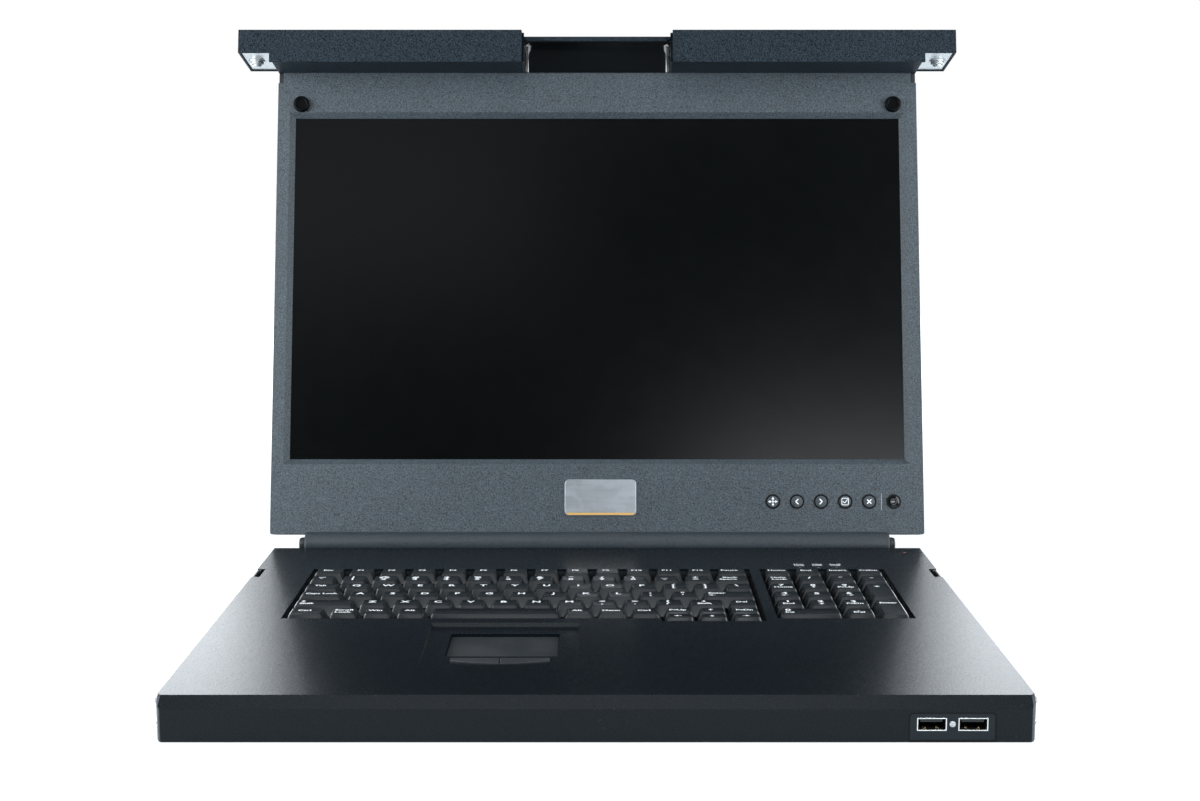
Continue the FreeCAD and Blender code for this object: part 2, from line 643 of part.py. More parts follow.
# --- Tray shells ---------------------------------------------------------------------------------
def post_places():
    """Where the cover's screw posts stand, as (x, y)."""
    side = HALF_TRAY - POST_INSET
    back = DECK_BACK - 2 * POST_INSET
    front = TRAY_FRONT + 2 * POST_INSET
    return [(-side, back), (side, back), (-side, front), (side, front), (0.0, back), (0.0, front)]


def slide_screw_places():
    """Where the slide members are screwed on, as y."""
    first = on_deck(SLIDE_FRONT) + SLIDE_SCREW_INSET
    last = on_deck(SLIDE_PAST_DECK) - SLIDE_SCREW_INSET
    return [first + (last - first) * i / (SLIDE_SCREWS - 1) for i in range(SLIDE_SCREWS)]


def slide_middle():
    """Height of the slide member's middle line."""
    return SLIDE_BOTTOM + SLIDE_HEIGHT / 2


def cover_body(inset, bottom):
    """The cover's outer form, drawn in by a wall thickness: deck, bevel, tail and front corners."""
    top = TRAY_HEIGHT - inset
    front = TRAY_FRONT + inset
    bevel = FRONT_BEVEL - inset * (math.sqrt(2) - 1)
    profile = [
        (front, bottom), (front, top - bevel), (front + bevel, top), (DECK_BACK - inset, top),
        (DECK_BACK - inset, TAIL_HEIGHT - inset), (TRAY_BACK - inset, TAIL_HEIGHT - inset),
        (TRAY_BACK - inset, bottom), (front, bottom),
    ]
    half = HALF_TRAY - inset
    wire = Part.makePolygon([FreeCAD.Vector(-half, y, z) for y, z in profile])
    body = Part.Face(wire).extrude(FreeCAD.Vector(2 * half, 0, 0))
    corner_size = CORNER_CHAMFER - inset * (2 - math.sqrt(2))
    corners = edges_along(body, Z_AXIS, lambda edge: edge.CenterOfMass.y < front + 0.01)
    return body.makeChamfer(corner_size, corners)


def deck_openings():
    """Tools for every hole in the deck: key wells, touchpad, lamps and catch notches."""
    tools = []
    for x0, x1, y0, y1 in well_outlines(WELL_MARGIN):
        tools.append(block(x0, x1, y0, y1, below_deck(-COVER_SHEET) - 0.01, below_deck(CUT_OVER)))
    tools.append(block(PAD_LEFT - PAD_CLEARANCE, PAD_RIGHT + PAD_CLEARANCE,
                       on_deck(PAD_FRONT) - PAD_CLEARANCE, on_deck(PAD_BACK) + PAD_CLEARANCE,
                       below_deck(-SUNK_SHEET) - CUT_OVER, below_deck(CUT_OVER)))
    tools.append(button_outline(PAD_CLEARANCE, -SUNK_SHEET - CUT_OVER, CUT_OVER))
    for x, y in DECK_LAMPS:
        tools.append(prism(x, on_deck(y), below_deck(-COVER_SHEET) - CUT_OVER, LED_RADIUS, LAMP_SIDES,
                           COVER_SHEET + 2 * CUT_OVER))
    notch = block(HALF_TRAY - CATCH_NOTCH, HALF_TRAY + CUT_OVER, on_deck(CATCH_FRONT),
                  on_deck(CATCH_BACK), below_deck(-CATCH_NOTCH_DEPTH), below_deck(CUT_OVER))
    return tools + both_sides(notch)


def sunk_wedge():
    """Tool for the touchpad area, deepest at its back edge."""
    run_out = PAD_AREA_BACK - PAD_AREA_FRONT
    profile = [(0, -PAD_AREA_DEPTH), (-run_out, 0), (-run_out, CUT_OVER), (0, CUT_OVER)]
    points = [FreeCAD.Vector(PAD_AREA_LEFT, on_deck(PAD_AREA_BACK + y), below_deck(z))
              for y, z in profile]
    face = Part.Face(Part.makePolygon(points + points[:1]))
    return face.extrude(FreeCAD.Vector(PAD_AREA_RIGHT - PAD_AREA_LEFT, 0, 0))


def usb_cutout(grow, y0, y1):
    """The front module's outline through the front wall, rounded at its upper corners."""
    shape = block(USB_LEFT - grow, USB_RIGHT + grow, y0, y1, USB_BOTTOM - grow, USB_TOP + grow)
    upper = edges_along(shape, Y_AXIS, lambda edge: edge.CenterOfMass.z > (USB_TOP + USB_BOTTOM) / 2)
    return shape.makeFillet(USB_CORNER + grow, upper)


def make_deck_cover():
    """The folded steel cover: deck, bevelled front, side walls and the low tail."""
    outer = cover_body(0, 0)
    inner = cover_body(COVER_SHEET, -CUT_OVER)
    shell = outer.cut(inner)
    margin = 3.0
    doubler = block(PAD_AREA_LEFT - margin, PAD_AREA_RIGHT + margin, on_deck(PAD_AREA_FRONT - margin),
                    on_deck(PAD_AREA_BACK + margin), below_deck(-SUNK_SHEET),
                    below_deck(-COVER_SHEET / 2))
    posts = [prism(x, y, PAN_SHEET, POST_RADIUS, 6, below_deck(-COVER_SHEET) - PAN_SHEET)
             for x, y in post_places()]
    shell = fuse([shell, doubler] + posts)
    tools = deck_openings() + [sunk_wedge()]
    tools.append(usb_cutout(0, TRAY_FRONT - CUT_OVER, TRAY_FRONT + COVER_SHEET + CUT_OVER))
    for x, y in post_places():
        tools.append(prism(x, y, PAN_SHEET - CUT_OVER, M3_RADIUS + THREAD_FIT, SCREW_SIDES,
                           M3_DEPTH + 2 * CUT_OVER))
    for y in slide_screw_places():
        hole = prism(HALF_TRAY - COVER_SHEET - CUT_OVER, y, slide_middle(),
                     M3_RADIUS + M3_CLEARANCE, SCREW_SIDES, COVER_SHEET + 2 * CUT_OVER, X_AXIS)
        tools += both_sides(hole)
    tools.append(block(-HALF_TRAY + COVER_SHEET, HALF_TRAY - COVER_SHEET, TRAY_BACK - COVER_SHEET,
                       TRAY_BACK + CUT_OVER, -CUT_OVER, TAIL_HEIGHT - COVER_SHEET))
    save("deck_cover", [cut(shell, tools)])


def video_outline(grow, y0, y1):
    """The video socket's outline, narrower below, between two depths."""
    upper = VGA_HALF_WIDTH + grow
    lower = upper - VGA_TAPER
    z = VGA_HALF_HEIGHT + grow
    cut_in = 1.6
    profile = [(-lower + cut_in, -z), (lower - cut_in, -z), (lower, -z + cut_in), (upper, z - cut_in),
               (upper - cut_in, z), (-upper + cut_in, z), (-upper, z - cut_in), (-lower, -z + cut_in)]
    points = [FreeCAD.Vector(VGA_X + px, y0, SOCKET_PANEL_Z + pz) for px, pz in profile]
    return Part.Face(Part.makePolygon(points + points[:1])).extrude(FreeCAD.Vector(0, y1 - y0, 0))


def usb_b_outline(grow, y0, y1):
    """The square USB socket's outline between two depths."""
    half, height = USB_B_HALF_WIDTH + grow, USB_B_HALF_HEIGHT + grow
    return block(USB_B_X - half, USB_B_X + half, y0, y1, SOCKET_PANEL_Z - height,
                 SOCKET_PANEL_Z + height)


def socket_holes():
    """Tools for the rear sockets through the pan's back wall."""
    y0, y1 = TRAY_BACK - COVER_SHEET - CUT_OVER, TRAY_BACK + CUT_OVER
    jack = rod(POWER_JACK_X, y0, SOCKET_PANEL_Z, JACK_RADIUS + SEAT_GAP, y1 - y0, Y_AXIS)
    return [video_outline(SEAT_GAP, y0, y1), usb_b_outline(SEAT_GAP, y0, y1), jack]


def make_base_pan():
    """The bottom pan: floor, low flanges, back wall, plate rests and catch ledges."""
    gap = COVER_SHEET + PAN_CLEARANCE
    half = HALF_TRAY - gap
    front = TRAY_FRONT + gap
    floor = block(-half, half, front, TRAY_BACK, 0, PAN_SHEET)
    corner = CORNER_CHAMFER - PAN_SHEET
    floor = floor.makeChamfer(corner, edges_along(floor, Z_AXIS, lambda e: e.CenterOfMass.y < 0))
    side = block(half - PAN_SHEET, half, front + CORNER_CHAMFER, TRAY_BACK - COVER_SHEET, 0, PAN_FLANGE)
    front_left = block(-half + CORNER_CHAMFER, USB_LEFT - 2, front, front + PAN_SHEET, 0, PAN_FLANGE)
    back_wall = block(-half, half, TRAY_BACK - COVER_SHEET, TRAY_BACK, 0,
                      TAIL_HEIGHT - COVER_SHEET - PAN_CLEARANCE)
    plate_bottom = -TUB_DEPTH - MEMBRANE_THICKNESS - BACKPLATE_THICKNESS
    wells = well_outlines(REST_SIZE / 2)
    rest_x = [wells[0][0] + REST_SIZE, (wells[0][0] + wells[0][1]) / 2, wells[0][1] - REST_SIZE,
              (wells[2][0] + wells[2][1]) / 2]
    rest_y = [wells[0][2] + REST_SIZE, wells[0][3] - REST_SIZE]
    rests = [block(x - REST_SIZE / 2, x + REST_SIZE / 2, y - REST_SIZE / 2, y + REST_SIZE / 2, 0,
                   below_deck(plate_bottom)) for x in rest_x for y in rest_y]
    ledge_inside = half - CATCH_CLEARANCE - CATCH_BODY
    ledge = block(ledge_inside, half, on_deck(CATCH_FRONT + CATCH_INSET),
                  on_deck(CATCH_BACK - CATCH_INSET), 0, below_deck(-CATCH_BODY_DEPTH) - PAN_CLEARANCE)
    pan = fuse([floor, front_left, back_wall] + both_sides(side) + rests + both_sides(ledge))
    tools = socket_holes()
    for x, y in post_places():
        tools.append(countersink(x, y, 0, PAN_SHEET, M3_CLEARANCE))
    for y in slide_screw_places():
        tools += both_sides(block(half - PAN_SHEET - CUT_OVER, half + CUT_OVER, y - M3_HEAD_RADIUS,
                                  y + M3_HEAD_RADIUS, slide_middle() - M3_HEAD_RADIUS,
                                  PAN_FLANGE + CUT_OVER))
    save("base_pan", [cut(pan, tools)])


def countersink(x, y, z, sheet, grow):
    """Countersunk head of a small screw in a sheet, or the hole for it."""
    return tapered_prism(x, y, z - grow / 10, M3_HEAD_RADIUS + grow, M3_RADIUS + grow, HEAD_SIDES,
                         sheet + grow / 5)


def sunk_screw(x, y, z, sheet):
    """A small countersunk screw that points up."""
    shank = prism(x, y, z + sheet / 2, M3_RADIUS, SCREW_SIDES, M3_DEPTH)
    return fuse([countersink(x, y, z, sheet, 0), shank])


def make_tray_screws():
    """Bottom screws, countersunk, and the slide members' screws."""
    screws = [sunk_screw(x, y, 0, PAN_SHEET) for x, y in post_places()]
    web = HALF_TRAY + SLIDE_SHEET
    start = HALF_TRAY - COVER_SHEET - SCREW_PAST_SHEET
    for y in slide_screw_places():
        head = prism(web, y, slide_middle(), M3_HEAD_RADIUS, HEAD_SIDES, M3_HEAD, X_AXIS)
        shank = prism(start, y, slide_middle(), M3_RADIUS, SCREW_SIDES, web + M3_HEAD / 2 - start,
                      X_AXIS)
        screws += both_sides(fuse([head, shank]))
    save("tray_screws", screws)


# --- Slides and catches --------------------------------------------------------------------------
def make_slides():
    """Inner slide members, a channel with a ball groove along each flange."""
    x0, x1 = HALF_TRAY, HALF_TRAY + SLIDE_DEPTH
    z0, z1 = SLIDE_BOTTOM, SLIDE_BOTTOM + SLIDE_HEIGHT
    y0, y1 = on_deck(SLIDE_FRONT), on_deck(SLIDE_PAST_DECK)
    flange = SLIDE_SHEET + SLIDE_GROOVE
    tools = [block(x0 + SLIDE_SHEET, x1 + CUT_OVER, y0 - CUT_OVER, y1 + CUT_OVER, z0 + flange,
                   z1 - flange)]
    groove_x = (x0 + SLIDE_SHEET + x1) / 2
    for z in (z0, z1):
        tools.append(rod(groove_x, y0 - CUT_OVER, z, SLIDE_GROOVE, y1 - y0 + 2 * CUT_OVER, Y_AXIS))
    for y in slide_screw_places():
        tools.append(prism(x0 - CUT_OVER, y, slide_middle(), M3_RADIUS + M3_CLEARANCE, SCREW_SIDES,
                           SLIDE_SHEET + 2 * CUT_OVER, X_AXIS))
    channel = block(x0, x1, y0, y1, z0, z1)
    nose = edges_along(channel, X_AXIS, lambda edge: edge.CenterOfMass.y < 0)
    right, left = both_sides(cut(channel.makeChamfer(SLIDE_NOSE, nose), tools))
    save("slide_member_right", [right])
    save("slide_member_left", [left])


def make_catches():
    """Side release catches: a finger tab in the deck notch on a block inside the tray."""
    outer = HALF_TRAY - CATCH_CLEARANCE
    y0 = on_deck(CATCH_FRONT) + CATCH_CLEARANCE
    y1 = on_deck(CATCH_BACK) - CATCH_CLEARANCE
    tab_top = below_deck(-CATCH_CLEARANCE)
    tab = block(outer - CATCH_THICKNESS, outer, y0, y1,
                below_deck(-CATCH_NOTCH_DEPTH + CATCH_CLEARANCE), tab_top)
    scoop = block(outer - CATCH_THICKNESS - CUT_OVER, outer - CATCH_THICKNESS / 2,
                  on_deck(CATCH_FRONT) + CATCH_INSET, on_deck(CATCH_BACK) - CATCH_INSET,
                  tab_top - CATCH_SCOOP, tab_top + CUT_OVER)
    inner = HALF_TRAY - COVER_SHEET - CATCH_CLEARANCE
    body = block(inner - CATCH_BODY, inner, on_deck(CATCH_FRONT) + CATCH_INSET,
                 on_deck(CATCH_BACK) - CATCH_INSET, below_deck(-CATCH_BODY_DEPTH),
                 tab_top - CATCH_SCOOP)
    right, left = both_sides(fuse([cut(tab, [scoop]), body]))
    save("side_catch_right", [right])
    save("side_catch_left", [left])


# --- Front USB module and indicators -------------------------------------------------------------
def port_box(centre, grow, y0, y1):
    """Outline of one USB port between two depths."""
    half = USB_PORT_WIDTH / 2 + grow
    return block(centre - half, centre + half, y0, y1, USB_PORT_BOTTOM - grow,
                 USB_PORT_BOTTOM + USB_PORT_HEIGHT + grow)


def make_usb_module():
    """Module face with two ports, their tongues, the lamp between them and the hub board."""
    face_y = TRAY_FRONT + USB_FACE_SETBACK
    wall_back = TRAY_FRONT + COVER_SHEET
    face_back = wall_back + USB_FACE_THICKNESS
    front_plug = usb_cutout(-SEAT_GAP, face_y, wall_back + SEAT_GAP)
    flange = block(USB_LEFT - USB_FLANGE, USB_RIGHT + USB_FLANGE, wall_back, face_back, PAN_SHEET,
                   USB_TOP + USB_FLANGE / 2)
    lamp_z = USB_PORT_BOTTOM + USB_PORT_HEIGHT / 2
    tools = [port_box(x, SEAT_GAP, face_y - CUT_OVER, face_back + CUT_OVER)
             for x in USB_PORT_CENTRES]
    tools.append(rod(USB_MIDDLE, face_y - CUT_OVER, lamp_z, USB_LED_RADIUS + SEAT_GAP / 2,
                     face_back - face_y + 2 * CUT_OVER, Y_AXIS))
    save("usb_module_face", [cut(fuse([front_plug, flange]), tools)])

    shells, tongues = [], []
    shell_back = face_y + USB_PORT_DEPTH
    for x in USB_PORT_CENTRES:
        hollow = port_box(x, -USB_SHELL, face_y - CUT_OVER, shell_back - USB_SHELL)
        shells.append(cut(port_box(x, 0, face_y, shell_back), [hollow]))
        half = USB_TONGUE_WIDTH / 2
        top = USB_PORT_BOTTOM + USB_PORT_HEIGHT - USB_SHELL - USB_TONGUE_DROP
        tongues.append(block(x - half, x + half, face_y + USB_TONGUE_SETBACK, shell_back - USB_SHELL,
                             top - USB_TONGUE, top))
    save("usb_ports", shells)
    save("usb_tongues", tongues)

    board_top = USB_PORT_BOTTOM
    board_bottom = board_top - BOARD_THICKNESS
    board = block(USB_LEFT, USB_RIGHT, face_back, face_back + HUB_BOARD_DEPTH, board_bottom, board_top)
    feet = [block(x, x + BOARD_FOOT, face_back + BOARD_FOOT, face_back + HUB_BOARD_DEPTH - BOARD_FOOT,
                  PAN_SHEET, board_bottom) for x in (USB_LEFT, USB_RIGHT - BOARD_FOOT)]
    save("usb_hub_board", [fuse([board] + feet)])

    bulb = rod(USB_MIDDLE, face_y - LAMP_PROUD, lamp_z, USB_LED_RADIUS, face_back - face_y + 1.0,
               Y_AXIS)
    legs = block(USB_MIDDLE - LED_RADIUS, USB_MIDDLE + LED_RADIUS, face_back,
                 face_back + 2 * LED_RADIUS, board_top, lamp_z + LED_RADIUS)
    lamps = [fuse([bulb, legs])]
    for x, y in DECK_LAMPS:
        lamps.append(prism(x, on_deck(y), below_deck(-LAMP_LENGTH), LED_RADIUS, LAMP_SIDES,
                           LAMP_LENGTH + LAMP_PROUD))
    save("indicator_lamps", lamps)


def make_controller_board():
    """Keyboard controller board on the pan floor, with its chip and cable socket."""
    x0, x1 = CONTROLLER_LEFT, CONTROLLER_LEFT + CONTROLLER_WIDTH
    y1 = on_deck(CONTROLLER_BACK)
    y0 = y1 - CONTROLLER_DEPTH
    bottom = PAN_SHEET + BOARD_STAND
    top = bottom + BOARD_THICKNESS
    board = block(x0, x1, y0, y1, bottom, top)
    feet = [block(x, x + BOARD_FOOT, y, y + BOARD_FOOT, PAN_SHEET, bottom)
            for x in (x0, x1 - BOARD_FOOT) for y in (y0, y1 - BOARD_FOOT)]
    chip_x, chip_y = (x0 + x1 - CHIP_SIZE) / 2, (y0 + y1 - CHIP_SIZE) / 2
    chip = block(chip_x, chip_x + CHIP_SIZE, chip_y, chip_y + CHIP_SIZE, top, top + CHIP_HEIGHT)
    header = block(x0 + 2 * BOARD_FOOT, x1 - 2 * BOARD_FOOT, y1 - 2 * BOARD_FOOT, y1 - BOARD_FOOT, top,
                   top + HEADER_HEIGHT)
    save("keyboard_controller_board", [fuse([board, chip, header] + feet)])


# --- Rear sockets --------------------------------------------------------------------------------
def make_rear_sockets():
    """Video, USB and power sockets in the back wall, each on a foot on the pan's floor."""
    z = SOCKET_PANEL_Z
    wall = TRAY_BACK
    inside = wall - COVER_SHEET
    rim = video_outline(0, inside - SOCKET_FOOT, wall + VGA_REACH)
    half = VGA_NUT_X + VGA_NUT_RADIUS + VGA_PLATE
    plate = block(VGA_X - half, VGA_X + half, wall, wall + VGA_PLATE, z - TAIL_HEIGHT / 2 + VGA_PLATE,
                  z + TAIL_HEIGHT / 2 - VGA_PLATE)
    hollow = video_outline(-VGA_SHELL, wall + VGA_PLATE, wall + VGA_REACH + CUT_OVER)
    insert = video_outline(-VGA_SHELL - VGA_PLUG_SPACE, wall, wall + VGA_REACH - VGA_SHELL)
    nuts = [prism(VGA_X + side * VGA_NUT_X, wall, z, VGA_NUT_RADIUS, 6, VGA_NUT_LENGTH, Y_AXIS)
            for side in (-1, 1)]
    body = block(VGA_X - VGA_HALF_WIDTH, VGA_X + VGA_HALF_WIDTH, inside - 2 * SOCKET_FOOT,
                 inside - SOCKET_FOOT, PAN_SHEET, z + VGA_HALF_HEIGHT)
    save("video_socket", [fuse([fuse([rim, plate]).cut(hollow), insert, body] + nuts)])

    back = inside - USB_B_DEPTH
    shell = usb_b_outline(0, back, wall + SOCKET_PROUD)
    bore = usb_b_outline(-USB_B_WALL, back + USB_B_WALL, wall + SOCKET_PROUD + CUT_OVER)
    half = USB_B_HALF_WIDTH / 2
    tongue = block(USB_B_X - half, USB_B_X + half, back, wall - SOCKET_PROUD, z - half / 2, z + half / 2)
    foot = block(USB_B_X - half, USB_B_X + half, back, inside - SOCKET_FOOT, PAN_SHEET,
                 z - USB_B_HALF_HEIGHT)
    save("usb_b_socket", [fuse([shell.cut(bore), tongue, foot])])

    back = inside - JACK_DEPTH
    barrel = rod(POWER_JACK_X, back, z, JACK_RADIUS, wall + SOCKET_PROUD - back, Y_AXIS)
    well = rod(POWER_JACK_X, back + JACK_RADIUS, z, JACK_BORE, JACK_DEPTH + 2 * SOCKET_FOOT, Y_AXIS)
    pin = rod(POWER_JACK_X, back + CUT_OVER, z, JACK_PIN, wall - SOCKET_PROUD - back - CUT_OVER, Y_AXIS)
    foot = block(POWER_JACK_X - JACK_RADIUS, POWER_JACK_X + JACK_RADIUS, back, inside - SOCKET_FOOT,
                 PAN_SHEET, z - JACK_PIN)
    save("power_jack", [fuse([fuse([barrel, foot]).cut(well), pin])])


# --- Hinge ---------------------------------------------------------------------------------------
def make_hinge():
    """Brackets on the tail, pins fixed in them and the long barrel of the lid."""
    inner = BARREL_HALF_LENGTH + HINGE_END_GAP
    outer = inner + BRACKET_THICKNESS
    foot = block(inner, inner + BRACKET_FOOT, DECK_BACK + BRACKET_THICKNESS, AXIS_Y + BARREL_RADIUS,
                 TAIL_HEIGHT, TAIL_HEIGHT + BRACKET_THICKNESS)
    upright = block(inner, outer, AXIS_Y - BRACKET_EAR_RADIUS, AXIS_Y + BRACKET_EAR_RADIUS,
                    TAIL_HEIGHT, AXIS_Z)
    ear = rod(inner, AXIS_Y, AXIS_Z, BRACKET_EAR_RADIUS, BRACKET_THICKNESS, X_AXIS)
    eye = rod(inner - CUT_OVER, AXIS_Y, AXIS_Z, PIN_RADIUS + THREAD_FIT, BRACKET_THICKNESS + 2 * CUT_OVER,
              X_AXIS)
    save("hinge_brackets", both_sides(cut(fuse([foot, upright, ear]), [eye])))

    head = rod(outer, AXIS_Y, AXIS_Z, PIN_HEAD_RADIUS, PIN_HEAD_THICKNESS, X_AXIS)
    rim = [edge for edge in head.Edges if edge.CenterOfMass.x > outer + PIN_HEAD_THICKNESS / 2]
    round_rim = [edge for edge in rim if isinstance(edge.Curve, Part.Circle)]
    head = head.makeChamfer(PIN_HEAD_THICKNESS / 2, round_rim)
    start = BARREL_HALF_LENGTH - PIN_ENGAGEMENT
    shaft = rod(start, AXIS_Y, AXIS_Z, PIN_RADIUS, outer + PIN_HEAD_THICKNESS / 2 - start, X_AXIS)
    save("hinge_pins", both_sides(fuse([head, shaft])))


def barrel_rod(radius, half_length):
    """A rod along the hinge axis, in lid coordinates."""
    return rod(-half_length, -LID_EDGE_ABOVE_AXIS, -FACE_FROM_AXIS, radius, 2 * half_length, X_AXIS)


def make_barrel():
    """Hinge barrel with the flange that carries the lid's bottom edge."""
    tube = barrel_rod(BARREL_RADIUS, BARREL_HALF_LENGTH)
    tube = tube.makeChamfer(BARREL_CHAMFER, [e for e in tube.Edges if isinstance(e.Curve, Part.Circle)])
    half = BARREL_HALF_LENGTH - BARREL_RADIUS
    flange = block(-half, half, -BRACKET_THICKNESS, 0, -LID_THICKNESS + LID_BACK_SHEET, -FACE_FROM_AXIS)
    barrel = fuse([tube, flange])
    bores = []
    for side in (-1, 1):
        start = side * (BARREL_HALF_LENGTH + CUT_OVER)
        bores.append(rod(start, -LID_EDGE_ABOVE_AXIS, -FACE_FROM_AXIS, PIN_RADIUS + PIN_FIT,
                         PIN_ENGAGEMENT + 2 * CUT_OVER, FreeCAD.Vector(-side, 0, 0)))
    save_lid("hinge_barrel", [cut(barrel, bores)])


# --- Lid -----------------------------------------------------------------------------------------
def screen_frame(grow_inner, n):
    """Rectangle round the screen opening at a depth, as frustum() takes it."""
    half = SCREEN_WIDTH / 2 + grow_inner
    return (-half, half, SCREEN_BOTTOM - grow_inner, SCREEN_BOTTOM + SCREEN_HEIGHT + grow_inner, n)


def control_places():
    """Lid buttons as (name, x)."""
    places = [(name, FIRST_CONTROL_X + i * CONTROL_PITCH) for i, name in enumerate(CONTROL_NAMES)]
    return places + [("power_button", POWER_X)]


def control_board_back():
    """Face of the control board that the buttons press on."""
    return -LID_SHEET - CONTROL_FLANGE - CONTROL_TRAVEL - SWITCH_HEIGHT - 3 * SEAT_GAP


def lid_screw_places():
    """Screws that hold the back cover to the lid's frame, as (x, v)."""
    edge = LID_SHEET + POST_RADIUS - POST_SUNK
    side = HALF_LID - edge
    rows = (LID_SCREW_INSET, LID_LENGTH / 2, LID_LENGTH - LID_SCREW_INSET)
    return [(x, v) for x in (-side, side) for v in rows] + [(0.0, edge), (0.0, LID_LENGTH - edge)]


def make_lid_frame():
    """The lid's front shell with the bevelled screen opening."""
    back = -LID_THICKNESS + LID_BACK_SHEET
    shell = block(-HALF_LID, HALF_LID, 0, LID_LENGTH, back, 0)
    corners = edges_along(shell, Z_AXIS, lambda edge: edge.CenterOfMass.y < 1)
    shell = shell.makeChamfer(LID_CORNER, corners)
    inside = block(-HALF_LID + LID_SHEET, HALF_LID - LID_SHEET, LID_SHEET, LID_LENGTH - LID_SHEET,
                   back - CUT_OVER, -LID_SHEET)
    outer_lip = screen_frame(SCREEN_BEVEL + LID_LIP, -LID_SHEET / 2)
    ring = block(*outer_lip[:4], -BEVEL_DEPTH, -LID_SHEET / 2)
    posts = [prism(x, v, back, POST_RADIUS, 6, -back - LID_SHEET / 2) for x, v in lid_screw_places()]
    board_back = control_board_back()
    pegs = [prism(x, CONTROL_ROW, board_back, CONTROL_PEG_RADIUS, 6, -board_back - LID_SHEET / 2)
            for x in (FIRST_CONTROL_X - CONTROL_PEG_SPACE, POWER_X - CONTROL_PITCH / 2)]
    shell = fuse([shell.cut(inside), ring] + posts + pegs)
    tools = [frustum(screen_frame(0, -BEVEL_DEPTH), screen_frame(SCREEN_BEVEL, 0)),
             block(*screen_frame(0, 0)[:4], -BEVEL_DEPTH - CUT_OVER, CUT_OVER),
             barrel_rod(BARREL_RADIUS + SEAT_GAP, BARREL_HALF_LENGTH + CUT_OVER)]
    relief = block(HALF_LID - RELIEF_WIDTH, HALF_LID + CUT_OVER, LID_LENGTH - RELIEF_LENGTH,
                   LID_LENGTH + CUT_OVER, -RELIEF_DEPTH, CUT_OVER)
    tools += both_sides(relief)
    sheet_hole = LID_SHEET + 2 * CUT_OVER
    for name, x in control_places():
        tools.append(rod(x, CONTROL_ROW, -LID_SHEET - CUT_OVER, CONTROL_RADIUS + CONTROL_CLEARANCE,
                         sheet_hole))
    for side in (-1, 1):
        tools.append(prism(side * BUMPER_X, BUMPER_ROW, -LID_SHEET - CUT_OVER, BUMPER_STEM_RADIUS,
                           SCREW_SIDES, sheet_hole))
    for x, v in lid_screw_places():
        tools.append(prism(x, v, back - CUT_OVER, M3_RADIUS + THREAD_FIT, SCREW_SIDES,
                           M3_DEPTH + 2 * CUT_OVER))
    save_lid("lid_front_frame", [cut(shell, tools)])


def make_lid_back():
    """The lid's back cover, a plate with a stiffening rib round it, and its screws."""
    bottom = -LID_THICKNESS
    top = bottom + LID_BACK_SHEET
    plate = block(-HALF_LID, HALF_LID, 0, LID_LENGTH, bottom, top)
    plate = plate.makeChamfer(LID_CORNER, edges_along(plate, Z_AXIS, lambda e: e.CenterOfMass.y < 1))
    inset = LID_SHEET + 2 * POST_RADIUS + LID_CORNER
    inner = inset + LID_BACK_SHEET
    rib = cut(block(-HALF_LID + inset, HALF_LID - inset, inset, LID_LENGTH - inset, bottom, top + LID_RIB),
              [block(-HALF_LID + inner, HALF_LID - inner, inner, LID_LENGTH - inner, bottom - CUT_OVER,
                     top + LID_RIB + CUT_OVER)])
    sinks = [countersink(x, v, bottom, LID_BACK_SHEET, M3_CLEARANCE) for x, v in lid_screw_places()]
    save_lid("lid_back_cover", [cut(fuse([plate, rib]), sinks)])
    save_lid("lid_screws", [sunk_screw(x, v, bottom, LID_BACK_SHEET) for x, v in lid_screw_places()])


def make_screen():
    """Liquid-crystal glass in its metal module frame, and the driver board behind."""
    half = SCREEN_WIDTH / 2 + MODULE_SIDE
    reach = SCREEN_HEIGHT / 2 + MODULE_END
    module = block(-half, half, SCREEN_MIDDLE - reach, SCREEN_MIDDLE + reach, MODULE_BACK, MODULE_FRONT)
    glass_back = MODULE_FRONT - GLASS_THICKNESS
    pocket = block(*screen_frame(GLASS_MARGIN + SEAT_GAP, 0)[:4], glass_back, MODULE_FRONT + CUT_OVER)
    glass = block(*screen_frame(GLASS_MARGIN, 0)[:4], glass_back, MODULE_FRONT)
    notches = [prism(x, v, MODULE_BACK - CUT_OVER, POST_RADIUS + MODULE_POST_GAP, 6,
                     MODULE_FRONT - MODULE_BACK + 2 * CUT_OVER) for x, v in lid_screw_places()]
    save_lid("screen_module", [cut(module, [pocket] + notches)])
    save_lid("screen_glass", [glass])
    half = DRIVER_BOARD_WIDTH / 2
    middle = SCREEN_MIDDLE - DRIVER_BOARD_DROP
    board_back = MODULE_BACK - BOARD_THICKNESS
    board = block(-half, half, middle - DRIVER_BOARD_HEIGHT / 2, middle + DRIVER_BOARD_HEIGHT / 2,
                  board_back, MODULE_BACK)
    chip = block(0, CHIP_SIZE, middle, middle + CHIP_SIZE, board_back - CHIP_HEIGHT, board_back)
    header = block(-half + CHIP_SIZE, -CHIP_SIZE, middle - CHIP_SIZE, middle - CHIP_SIZE + BOARD_FOOT,
                   board_back - CHIP_HEIGHT, board_back)
    save_lid("screen_driver_board", [fuse([board, chip, header])])


